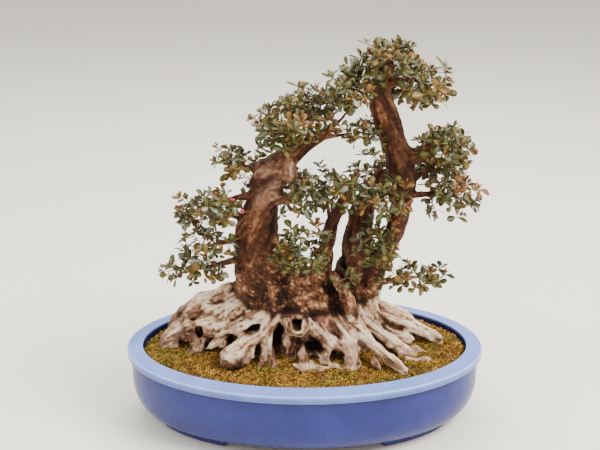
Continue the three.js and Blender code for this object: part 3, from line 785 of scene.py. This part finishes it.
def grain_directions(points, normals):
    """The way the wood's fibres run: along limbs, and outwards and down over the root base."""
    cell = 6.0
    low = np.floor(points.min(0) / cell).astype(int) - 2
    shape = np.ceil(points.max(0) / cell).astype(int) + 3 - low
    index = np.round(points / cell).astype(int) - low
    flat = np.ravel_multi_index(index.T, shape)
    tensor = np.zeros((*shape, 6))
    pairs = [(0, 0), (1, 1), (2, 2), (0, 1), (0, 2), (1, 2)]
    for k, (a, b) in enumerate(pairs):
        tensor[..., k] = np.bincount(flat, normals[:, a] * normals[:, b], int(np.prod(shape))).reshape(shape)
    tensor = blurred(tensor, 2)
    found = looked_up(tensor, low, points, cell)
    matrix = np.zeros((len(points), 3, 3))
    for k, (a, b) in enumerate(pairs):
        matrix[:, a, b] = matrix[:, b, a] = found[:, k]
    size, axes = np.linalg.eigh(matrix)
    along = axes[:, :, 0]
    outwards = unit(np.stack([points[:, 0] - 5, points[:, 1] * 1.6, np.full(len(points), -38.0)], axis=1))
    along = along * np.where((along * outwards).sum(1) < 0, -1, 1)[:, None]
    certain = np.clip((size[:, 1] - size[:, 0]) / np.maximum(size[:, 2], 1e-9) * 3, 0, 1)[:, None]
    base = 1 - smoothstep(points[:, 2], 135, 180)[:, None]
    share = np.clip(certain * (1 - 0.6 * base) + 0.15, 0, 1)
    mixed = along * share + outwards * (1 - share)
    mixed -= normals * (mixed * normals).sum(1, keepdims=True)
    return unit(mixed)


def streaks(points, along, size, reach, seed):
    """Noise drawn out along the fibres, from about -1 to 1."""
    steps = np.linspace(-1, 1, 15)
    total = sum(value_noise(points + along * reach * step, size, seed) for step in steps)
    return total / (len(steps) ** 0.5 * 0.62)


def make_wood():
    """The wood piece. Returns its points before the bark's relief, and a function for distances from it."""
    points, quads, wide, coarse, whole, low = grown_wood()
    normals = vertex_normals(points, quads)
    if coarse_at(wide, low, points + normals * 3).mean() < coarse_at(wide, low, points - normals * 3).mean():
        normals = -normals
        quads = quads[:, ::-1]
    x, y, z = points.T
    along = grain_directions(points, normals)
    broad = streaks(points, along, 5.5, 16, 5)
    fine = streaks(points, along, 2.4, 9, 9)
    wander = fractal(points, 34, 3, 21)
    rubble = fractal(points, 7, 3, 61)

    # where bark, rubble, scars, the pale shoulder, the cut, hollows and soil stains are; the shoulder is
    # partly worn bark and partly a painted highlight, and the hollows are painted shade
    line = 131 + np.maximum(0, np.abs(x) - 55) * 0.6 + 10 * wander + 7 * (y < -30) + 4 * rubble
    bark = smoothstep(z - line, -3, 6)
    rough = bark * (1 - smoothstep(z - 12 * wander - 5 * rubble, 178, 204)) * (y < 40)
    # the shoulder is painted pale: partly worn bark, partly a painted highlight on the trunk's lit upper
    # side
    scar_and_highlight = lengths_of((points - SCAR_MIDDLE) / (4, 12, 8)) - 0.25 * rubble
    lit_shoulder = lengths_of((points - LIT_SHOULDER_MIDDLE) / (26, 30, 26)) + 0.3 * rubble
    worn_and_highlit = (0.24 + 0.12 * broad) * smoothstep(-lit_shoulder, -1.5, -0.5)
    scar_and_highlight = np.maximum(0.8 * smoothstep(-scar_and_highlight, -1.15, -0.8), worn_and_highlit)
    offset = points - CUT_END
    cut = smoothstep(offset @ CUT_FACING, 3.2, 4.4) * (lengths_of(offset) < 20)
    # painted shade: the deeper the wood is dug into a hollow, the nearer to black it is painted
    hollow_shade = smoothstep(-coarse_at(whole, low, points), 1.5, 9)
    middle = np.exp(-((x - 14) / 44) ** 2) * (y < -20)
    tip = smoothstep(-x, 98, 134)
    stained_to = 104 + 26 * middle + 22 * tip
    stain = (1 - smoothstep(z, stained_to - 20, stained_to)) * (0.7 + 0.9 * wander + 0.6 * rubble)
    stain = np.clip(stain * (1.15 + 1.1 * tip + 0.4 * middle - 0.6 * smoothstep(x, 60, 90)), 0, 0.92)

    # relief, less on thin wood and none on the cut
    warped = points + np.stack([rubble, wander, -rubble], axis=1) * 3.2
    bumps = 0.33 * cell_bumps(warped, 6.0, 3) + 0.27 * cell_bumps(warped, 3.4, 8)
    bumps += 0.40 * (0.5 + 0.6 * rubble)
    # a crease along the bark band's lower edge; besides the dip, grain and warts are painted darker along it
    # as the shadow under the bark's overhang
    crease_and_shade = np.exp(-((z - line - 1) / 4.5) ** 2) * smoothstep(-y, -40, -20)
    thin = np.clip(-coarse_at(wide, low, points - normals * 5) / 4.5, 0.12, 1)
    height = (0.32 * broad + 0.22 * fine) * (1 - rough)
    height += rough * (3.2 * bumps - 1.5)
    height += 0.35 * rubble + 0.65 * (1 - rough) * fractal(points, 4.4, 2, 91)
    height -= 1.7 * crease_and_shade
    height *= thin * (1 - 0.6 * cut)
    shape = points + normals * np.clip(height, -2.2, 2.4)[:, None]

    # painted shade: the grain and warts are made darker in the wood's crevices
    crevice_shade = np.clip(2.6 - coarse_at(wide, low, points + normals * 2.0), 0, 4) / 4
    grain = 0.56 + 0.13 * broad + 0.17 * fine + 0.10 * rubble - 0.75 * crevice_shade ** 1.5 - 0.3 * crease_and_shade
    wart = bumps * 1.1 - 0.5 * crevice_shade - 0.35 * crease_and_shade
    fields = {
        "grain": np.clip(grain, 0, 1), "bark": bark, "rough": rough, "wart": np.clip(wart, 0, 1),
        "scar_and_highlight": scar_and_highlight, "cut": cut, "hollow_shade": hollow_shade, "stain": stain,
    }
    grown = new_piece("tree_wood", shape, quads, "wood", new_material("wood", wood), fields)
    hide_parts("tree")

    def wood_at(places):
        """How far outside the wood each place is, in millimetres, out to about 11."""
        cells = places / (VOXEL * 2)
        within = np.all((cells > low / 2) & (cells < low / 2 + coarse.shape - 1), axis=1)
        return np.where(within, coarse_at(coarse, low, places), 11.0)

    return points, wood_at


# ------------------------------------------------------------------ foliage

UP = np.array((0.0, 0.0, 1.0))

# Stations along a leaf: share of its length, half-width, and how far the blade is folded up at its edge.
LEAF_STATIONS = [
    (0.07, 0.03, 0.0), (0.28, 0.14, 0.03), (0.5, 0.255, 0.045), (0.74, 0.30, 0.05), (0.92, 0.185, 0.03),
]
LEAF_THICKNESS = 0.028


def leaf_template():
    """A leaf one unit long: points, triangles, underside share and midrib share."""
    points = [(0, 0, 0), (1, 0, 0)]
    below = [0.5, 0.5]
    vein = [0.6, 0.2]
    for share, half, fold in LEAF_STATIONS:
        points += [(share, half, fold), (share, -half, fold), (share, 0, 0.006), (share, 0, -LEAF_THICKNESS)]
        below += [0.45, 0.45, 0, 1]
        vein += [0, 0, 1, 0]
    faces = []
    last = 4 * (len(LEAF_STATIONS) - 1)
    for a, b in ((2, 5), (5, 3), (3, 4), (4, 2)):
        faces += [(0, a, b), (1, b + last, a + last)]
        for k in range(0, last, 4):
            faces += [(a + k, a + k + 4, b + k + 4), (a + k, b + k + 4, b + k)]
    return np.array(points, float), np.array(faces), np.array(below), np.array(vein)


LEAF_POINTS, LEAF_FACES, LEAF_BELOW, LEAF_VEIN = leaf_template()

# Open air that no shoot grows into: in front of the slit between the thin trunk and the back trunk, and
# in front of the lump that the thin trunk rises from.
CLEARINGS = [((28, -95, 186), (43, 10, 228)), ((-36, -100, 165), (26, -28, 197))]


def in_clearing(points, margin=0.0):
    found = np.zeros(len(points), dtype=bool)
    for low, high in CLEARINGS:
        found |= np.all((points > np.array(low) - margin) & (points < np.array(high) + margin), axis=1)
    return found


def any_across(vectors):
    """A unit vector square to each vector."""
    guide = np.where(np.abs(vectors[..., 2:]) < 0.9, UP, np.array((1.0, 0, 0)))
    return unit(np.cross(vectors, guide))


def rosettes(tips, facing, rng, wood_at):
    """Whorls of leaves round the shoot tips: arrays of starts, ways, faces, lengths, tints and bends."""
    leaves = []
    across = any_across(facing)
    for tip, axis, a, b in zip(tips, facing, across, np.cross(facing, across)):
        count = rng.integers(5, 7)
        turn = rng.uniform(0, 2 * math.pi)
        mood = rng.beta(1.0, 3.0)
        vigour = rng.uniform(0.8, 1.12)
        for k in range(count):
            inner = k >= count - 2
            turn += 2.4 if inner else 2 * math.pi / (count - 2)
            spread = math.radians(rng.uniform(12, 38) if inner else rng.uniform(42, 84))
            sideways = a * math.cos(turn) + b * math.sin(turn)
            way = axis * math.cos(spread) + sideways * math.sin(spread)
            top = axis * math.sin(spread) - sideways * math.cos(spread)
            top = unit(top + rng.normal(0, 0.22, 3) + UP * 0.25)
            top = unit(top - way * (top @ way))
            length = vigour * (rng.uniform(5.5, 8.5) if inner else rng.uniform(9.0, 13.5))
            start = tip - axis * (0 if inner else rng.uniform(0, 4.5))
            bend = rng.uniform(-0.04, 0.20)
            tint = np.clip(mood + (0.30 if inner else 0.0) + rng.normal(0, 0.10), 0, 1)
            leaves.append((start, way, top, length, tint, bend))
    leaves = [np.array(column) for column in zip(*leaves)]
    starts, ways, _, lengths, _, _ = leaves
    ends = starts + ways * lengths[:, None]
    clear = (wood_at(ends) > 0.3) & (wood_at((starts + ends) / 2) > 0.0) & ~in_clearing(ends)
    return [column[clear] for column in leaves]


def leaf_mesh(name, leaves, material, rng):
    starts, ways, tops, lengths, tints, bends = leaves
    count = len(starts)
    shape = np.broadcast_to(LEAF_POINTS, (count, *LEAF_POINTS.shape)).copy()
    shape[..., 1] *= rng.uniform(0.85, 1.2, count)[:, None]
    shape[..., 2] -= bends[:, None] * shape[..., 0] ** 2
    shape[..., 2] += rng.uniform(-0.05, 0.05, count)[:, None] * shape[..., 1] * 4 * shape[..., 0]
    shape *= lengths[:, None, None]
    points = starts[:, None]
    for axis, way in enumerate((ways, np.cross(tops, ways), tops)):
        points = points + shape[..., axis:axis + 1] * way[:, None]
    faces = LEAF_FACES + (np.arange(count) * len(LEAF_POINTS))[:, None, None]
    tint = tints[:, None] * (1.10 - 0.10 * LEAF_POINTS[:, 0])
    # painted sheen: about one leaf in eight is made pale, for the sky's reflection on it
    pale = np.where(rng.random(count) < 0.12, rng.uniform(0.2, 0.9, count), 0)
    fields = {
        "tint": np.clip(tint, 0, 1).ravel(),
        "pale": np.repeat(pale, len(LEAF_POINTS)),
        "below": np.tile(LEAF_BELOW, count),
        "vein": np.tile(LEAF_VEIN, count),
    }
    return new_piece(name, points.reshape(-1, 3), faces.reshape(-1, 3), "leaves", material, fields)


# The distance between shoot tips: in most pads, in those at the top, and in the pads that differ.
PAD_SPACING = 11.8
TOP_SPACING = 11.0
SPACINGS = {"left_trailing": 13, "right_trailing": 12.5, "head_left": 12.5, "middle_front": 8.4}
# Shoots added in front of the left trunk's arm, beyond the pad that they belong to.
MORE_TIPS = {
    "head_front": [
        (-34, -34, 316), (-20, -38, 321), (-6, -36, 325), (6, -34, 329), (15, -26, 336), (-46, -26, 318),
        (24, -20, 345),
    ],
    "head_inner": [(36, -12, 338), (30, -20, 331), (44, -16, 326)],
}


THIN_TWIG = 0.42    # radius of a twig that bears one shoot
THICK_TWIG = 2.0
TWIG_SIDES = 6
TWIG_STEP = 5.5     # between the points along a twig


class Twigs:
    """Twigs that grow from the wood to the shoot tips, each joining the nearest twig already grown."""

    def __init__(self, anchors):
        self.places = [tuple(p) for p in anchors]
        self.before = [-1] * len(anchors)
        self.reach = [6.0] * len(anchors)

    def grow(self, tip, facing, rng):
        places = np.array(self.places)
        gaps = lengths_of(places - tip)
        cost = gaps + 0.28 * np.array(self.reach)
        downhill = (places[:, 2] > tip[2] + 4) * 5.0
        start = int(np.argmin(cost + downhill))
        origin = places[start]
        length = gaps[start]
        steps = max(2, int(round(length / TWIG_STEP)))
        out = origin + (tip - origin) * 0.55 + (facing * -0.22 + rng.normal(0, 0.07, 3)) * length
        last = start
        for share in np.linspace(0, 1, steps + 1)[1:]:
            place = (1 - share) ** 2 * origin + 2 * share * (1 - share) * out + share ** 2 * tip
            if share < 1:
                place = place + rng.normal(0, 0.35, 3)
            self.places.append(tuple(place))
            self.before.append(last)
            self.reach.append(self.reach[last] + length / steps)
            last = len(self.places) - 1

    def tubes(self, anchors):
        """Tapered tubes along every twig, as points and quads."""
        places = np.array(self.places)
        load = np.zeros(len(places))
        children = [0] * len(places)
        for node in range(len(places) - 1, anchors - 1, -1):
            if children[node] == 0:
                load[node] = 1
            load[self.before[node]] += load[node]
            children[self.before[node]] += 1
        radius = np.clip(THIN_TWIG * np.maximum(load, 1) ** 0.40, THIN_TWIG, THICK_TWIG)
        parents = np.array(self.before[anchors:])
        starts, ends = places[parents], places[anchors:]
        narrow = radius[anchors:]
        wide = np.where(parents < anchors, narrow * 1.4, np.minimum(radius[parents], narrow * 1.25))
        along = unit(ends - starts)
        across = any_across(along)
        upright = np.cross(along, across)
        angles = np.linspace(0, 2 * math.pi, TWIG_SIDES, endpoint=False)
        circle = across[:, None] * np.cos(angles)[:, None] + upright[:, None] * np.sin(angles)[:, None]
        inset = along * (wide * 0.3)[:, None]
        rings = [
            (starts - inset * 1.6)[:, None] + circle * 0.02,
            (starts - inset)[:, None] + circle * wide[:, None, None],
            ends[:, None] + circle * narrow[:, None, None],
            (ends + along * (narrow * 0.8)[:, None])[:, None] + circle * (narrow * 0.35)[:, None, None],
        ]
        first = np.arange(len(ends))[:, None, None] * (TWIG_SIDES * len(rings))
        quads = first + tube_quads(TWIG_SIDES, len(rings))
        return np.stack(rings, axis=1).reshape(-1, 3), quads.reshape(-1, 4)


TIP_TRIES = 2600


def scattered(pad_points, pad_faces, spacing, rng):
    """Shoot tips spread through a pad, mostly near its surface, with the way each one faces."""
    tree = BVHTree.FromPolygons([tuple(p) for p in pad_points], pad_faces.tolist())
    low, high = pad_points.min(0), pad_points.max(0)
    middle = (low + high) / 2
    half = (high - low) / 2
    kept = np.empty((0, 3))
    for _ in range(TIP_TRIES):
        point = rng.uniform(low, high)
        found, normal, _, gap = tree.find_nearest(tuple(point))
        inside = (Vector(point) - found).dot(normal) < 0
        depth = gap if inside else -gap
        if depth < 1.0 or (depth > 11 and rng.random() > 0.2):
            continue
        if len(kept) and np.min(lengths_of(kept - point)) < spacing * rng.uniform(0.75, 1.25):
            continue
        kept = np.vstack([kept, point])
    tips = kept
    out = unit((tips - middle) / half ** 1.2)
    facing = unit(out * 0.7 + UP * 0.62 + rng.normal(0, 0.25, tips.shape))
    full = value_noise(tips, 22, 303) > -0.42
    tips, facing = tips[full], facing[full]
    long = rng.random(len(tips)) < 0.22
    tips[long] += facing[long] * rng.uniform(3, 10, (int(long.sum()), 1))
    return tips, facing


def with_more(name, tips, facing, rng):
    """The pad's own tips and those listed."""
    more = np.array(MORE_TIPS.get(name, np.empty((0, 3))), float)
    way = unit(np.array((-0.1, -0.45, 0.8)) + rng.normal(0, 0.25, more.shape))
    return np.vstack([tips, more]), np.vstack([facing, way])


def make_foliage(wood_points, wood_at, bark):
    leaf_look = new_material("leaf", leaf)
    pads = sorted(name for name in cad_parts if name.startswith("foliage_"))
    for index, pad in enumerate(pads):
        rng = np.random.default_rng(1000 + index)
        name = pad[len("foliage_"):]
        pad_points, pad_faces = arrays_of(pad)
        spacing = SPACINGS.get(name, TOP_SPACING if name[:4] in ("apex", "head") else PAD_SPACING)
        tips, facing = scattered(pad_points, pad_faces, spacing, rng)
        tips, facing = with_more(name, tips, facing, rng)
        clear = (wood_at(tips) > 2.0) & ~in_clearing(tips, 3)
        tips, facing = tips[clear], facing[clear]
        middle = pad_points.mean(0)
        gap = lengths_of(wood_points - middle)
        order = np.argsort(gap)
        near = order[: max(40, int((gap < gap[order[0]] + 14).sum()))]
        anchors = wood_points[rng.choice(near, min(len(near), 90), replace=False)]
        twigs = Twigs(anchors)
        distance = np.min(lengths_of(tips[:, None] - anchors), axis=1)
        for tip in np.argsort(distance):
            twigs.grow(tips[tip] - facing[tip] * 1.0, facing[tip], rng)
        points, quads = twigs.tubes(len(anchors))
        new_piece("twigs_" + name, points, quads, "wood", bark)
        leaves = leaf_mesh("leaves_" + name, rosettes(tips, facing, rng, wood_at), leaf_look, rng)
        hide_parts(pad)


BUD_RINGS = 9
BUD_SIDES = 14
BUD_LENGTH = 11


def make_buds(wood_points, bark):
    """Two flower buds about to open, each on its own short twig."""
    rng = np.random.default_rng(55)
    places = np.array([(-71.0, -32.0, 261.0), (-64.0, -34.0, 251.0)])
    facing = unit(np.array([(-0.55, -0.5, 0.6), (-0.1, -0.75, 0.5)]))
    twigs = Twigs(wood_points[[int(np.argmin(lengths_of(wood_points - p))) for p in places]])
    for place, way in zip(places, facing):
        twigs.grow(place, way, rng)
    points, quads = twigs.tubes(2)
    new_piece("twigs_buds", points, quads, "wood", bark)
    shares = np.linspace(0, 1, BUD_RINGS)
    angles = np.linspace(0, 2 * math.pi, BUD_SIDES, endpoint=False)
    points, faces = [], []
    for place, way in zip(places, facing):
        across = any_across(way)
        upright = np.cross(way, across)
        faces.append(len(points) + tube_quads(BUD_SIDES, BUD_RINGS))
        for share in shares:
            wide = 2.7 * (math.sin(math.pi * min(1, share * 0.92 + 0.06)) ** 0.8) * (1 - 0.35 * share)
            for angle in angles:
                fold = wide * (1 + 0.13 * math.cos(3 * angle + 2.5 * share))
                out = across * math.cos(angle) + upright * math.sin(angle)
                points.append(place + way * share * BUD_LENGTH + fold * out)
    petals = plain_material(
        "bud", 500, (0.32, 0.012, 0.035), (0.62, 0.06, 0.11), (0.4, 0.5), 0.0002,
        {"Subsurface Weight": 0.1, "Subsurface Radius": (0.001, 0.0004, 0.0004)})
    new_piece("flower_buds", np.array(points), np.vstack(faces), "leaves", petals)


# ------------------------------------------------------------------ soil, grit and moss

MOSS_STEP = 1.15    # between the points of the carpet
MOSS_R = 181.2      # its edge, just inside the pot's mouth
MOSS_THICK = 4.2
TUFTS = 15000


def moss_height(points):
    """The height of the moss before its clumps: level at the wall and mounded to the middle."""
    ring = np.maximum(ring_of(points), 1)
    return 80.2 + 5.0 * np.cos(np.clip(ring / 183, 0, 1) * math.pi / 2)


def make_moss(wood_at):
    """A carpet of clumped moss, raised where it meets the wood and dipping to the pot's wall."""
    x = np.arange(-184, 184, MOSS_STEP)
    y = np.arange(-107, 107, MOSS_STEP)
    grid_x, grid_y = np.meshgrid(x, y, indexing="ij")
    plan = np.stack([grid_x.ravel(), grid_y.ravel(), np.zeros(grid_x.size)], axis=1)
    plan[:, :2] += value_noises(plan, 1.7, (3, 4)) * 0.45
    ring = ring_of(plan)
    edge = MOSS_R - 1.5 * value_noise(plan, 9, 12)
    inside = (ring < edge).reshape(grid_x.shape)
    clumps = cell_bumps(plan + fractal(plan, 20, 2, 6)[:, None] * 3, 11, 19)
    grains = cell_bumps(plan, 3.0, 23)
    tiny = value_noise(plan, 1.9, 29)
    level = moss_height(plan)
    rise = 1.5 * (clumps - 0.4) + 1.3 * (grains - 0.5) + 0.7 * tiny + 1.2 * fractal(plan, 45, 2, 33)
    near_wood = smoothstep(-wood_at(np.column_stack([plan[:, :2], level])), -9, -0.5)
    rise += near_wood * (1.4 + 2.2 * value_noise(plan, 13, 39))
    rise -= 2.0 * smoothstep(ring - edge, -4, 0)

    # the cells whose four corners are inside, with a flat underside and a wall round the edge
    cells = inside[:-1, :-1] & inside[1:, :-1] & inside[1:, 1:] & inside[:-1, 1:]
    used = np.zeros_like(inside)
    for a, b in product((0, 1), repeat=2):
        used[a:used.shape[0] - 1 + a, b:used.shape[1] - 1 + b] |= cells
    number = np.full(grid_x.shape, -1)
    number[used] = np.arange(used.sum())
    i, j = np.nonzero(cells)
    quads = np.stack([number[i, j], number[i + 1, j], number[i + 1, j + 1], number[i, j + 1]], axis=1)
    keep = used.ravel()
    upper = np.column_stack([plan[keep, :2], (level + rise)[keep]])
    lower = np.column_stack([plan[keep, :2], level[keep] - MOSS_THICK])
    count = len(upper)
    edges = {(a, b) for quad in quads.tolist() for a, b in zip(quad, quad[1:] + quad[:1])}
    walls = np.array([(b, a, a + count, b + count) for a, b in sorted(edges) if (b, a) not in edges])
    faces = np.concatenate([quads, quads[:, ::-1] + count, walls])
    tone = np.clip(0.5 + 0.35 * (grains - 0.5) + 0.25 * (clumps - 0.4) + 0.2 * tiny, 0, 1)[keep]
    material = new_material("moss", moss)
    tones = {"height": np.concatenate([tone, tone * 0])}
    carpet = new_piece("moss_carpet", np.concatenate([upper, lower]), faces, "moss", material, tones)
    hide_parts("moss")
    make_tufts(upper, wood_at, material)


def make_tufts(ground, wood_at, material):
    """Small stars of moss, each turned, sized and leant its own way."""
    rng = np.random.default_rng(7)
    spots = ground[rng.choice(len(ground), TUFTS, replace=False)]
    spots = spots[wood_at(spots) > 0.2]
    count = len(spots)
    size = rng.uniform(0.5, 1.25, count)
    star = np.array([(1, 0, 0), (-0.5, 0.87, 0), (-0.5, -0.87, 0), (0, 0, 1.3), (0, 0, -0.6)], float)
    turn = rng.uniform(0, 2 * math.pi, count)
    shape = np.broadcast_to(star, (count, 5, 3)) * size[:, None, None] * rng.uniform(0.7, 1.3, (count, 5, 1))
    cosine, sine = np.cos(turn)[:, None], np.sin(turn)[:, None]
    x = shape[..., 0] * cosine - shape[..., 1] * sine
    y = shape[..., 0] * sine + shape[..., 1] * cosine
    z = shape[..., 2]
    lean = rng.normal(0, 0.35, (count, 2))
    points = spots[:, None] + np.stack([x + z * lean[:, :1], y + z * lean[:, 1:], z], axis=-1)
    faces = np.array([(0, 1, 3), (1, 2, 3), (2, 0, 3), (1, 0, 4), (2, 1, 4), (0, 2, 4)])
    faces = faces + (np.arange(count) * 5)[:, None, None]
    tone = {"height": np.repeat(rng.uniform(0.3, 1.0, count), 5) * np.tile([0.7, 0.7, 0.7, 1, 0.4], count)}
    new_piece("moss_tufts", points.reshape(-1, 3), faces.reshape(-1, 3), "moss", material, tone, False)


def make_bed(node, name, spacing, size, depth, material, slot):
    """A layer of loose grains in the CAD layer's room, pressed into the same shape."""
    skin, quads = skin_of(level_set(*arrays_of(node), spacing))
    lumps = (cell_bumps(skin, size, 51) - 1) * depth
    piece = new_piece(name, skin + vertex_normals(skin, quads) * lumps[:, None], quads, slot, material)
    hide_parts(node)


def make_fillings(wood_at):
    soil = grain_material(
        "soil", 420, 0.95, 0.0015, (0.2, 0.03, 0.018, 0.011), (0.5, 0.10, 0.06, 0.035),
        (0.8, 0.22, 0.15, 0.09))
    grit = grain_material(
        "grit", 210, 0.9, 0.003, (0.2, 0.16, 0.12, 0.08), (0.5, 0.36, 0.30, 0.22), (0.8, 0.58, 0.52, 0.42))
    make_bed("soil", "soil_bed", 2.4, 6, 0.7, soil, "soil")
    make_bed("drainage_grit", "grit_bed", 1.6, 5.5, 1.0, grit, "grit")
    make_moss(wood_at)


def finish_fittings():
    """The screens and wires keep their CAD shapes."""
    wire = plain_material(
        "wire", 500, (0.25, 0.13, 0.07), (0.45, 0.28, 0.17), (0.3, 0.5), 0, {"Metallic": 1.0})
    plastic = plain_material("screen_plastic", 400, (0.012, 0.016, 0.012), (0.03, 0.036, 0.03), (0.5, 0.7))
    for node, material in (
        ("drain_screen_left", plastic), ("drain_screen_right", plastic),
        ("screen_clip_left", wire), ("screen_clip_right", wire), ("tie_wire", wire),
    ):
        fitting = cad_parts[node]
        fitting.data.materials.clear()
        fitting.data.materials.append(material)


# ------------------------------------------------------------------ stage

FLOOR_REACH = 30000.0   # millimetres
# Name, place and size in metres, watts, and colour.
LAMPS = [
    ("key", (1.25, -0.55, 1.75), 1.0, 78, (1.0, 0.97, 0.93)),
    ("fill", (-1.5, -0.5, 1.5), 1.4, 20, (0.96, 0.98, 1.0)),
    ("top", (-0.1, 0.7, 2.1), 1.6, 48, (1.0, 0.99, 0.97)),
]
LIT_PLACE = Vector((0, 0, 0.2))
CAMERA_PLACE = (-0.0051, -0.9158, 0.5561)
CAMERA_DIP = 19.88      # degrees below level


def make_stage():
    corners = np.array([(-1, -1, 0), (1, -1, 0), (1, 1, 0), (-1, 1, 0)]) * FLOOR_REACH
    pale = plain_material("floor", 1.5, (0.88, 0.83, 0.72), (0.90, 0.86, 0.76), (0.85, 0.95))
    floor = new_piece("floor", corners, np.array([[0, 1, 2, 3]]), None, pale)
    world = bpy.data.worlds.new("studio")
    bpy.context.scene.world = world
    world.use_nodes = True
    sky = {"Color": (1.0, 0.985, 0.95, 1), "Strength": 1.0}
    set_inputs(world.node_tree, world.node_tree.nodes["Background"], sky)
    for name, place, size, power, colour in LAMPS:
        light = bpy.data.lights.new(name, "AREA")
        light.size = size
        light.energy = power
        light.color = colour
        lamp = shown(name, light)
        lamp.location = place
        lamp.rotation_euler = (LIT_PLACE - Vector(place)).to_track_quat("-Z", "Y").to_euler()
    lens = bpy.data.cameras.new("camera")
    lens.lens = 54
    lens.sensor_width = 36
    camera = shown("camera", lens)
    camera.location = CAMERA_PLACE
    camera.rotation_euler = (math.radians(90 - CAMERA_DIP), 0, 0)
    bpy.context.scene.camera = camera


make_stage()
make_pot()
wood_points, wood_at = make_wood()
twig_bark = plain_material("twig_bark", 700, (0.055, 0.016, 0.008), (0.34, 0.14, 0.065), (0.65, 0.8), 0.0003)
make_foliage(wood_points, wood_at, twig_bark)
make_buds(wood_points, twig_bark)
make_fillings(wood_at)
finish_fittings()
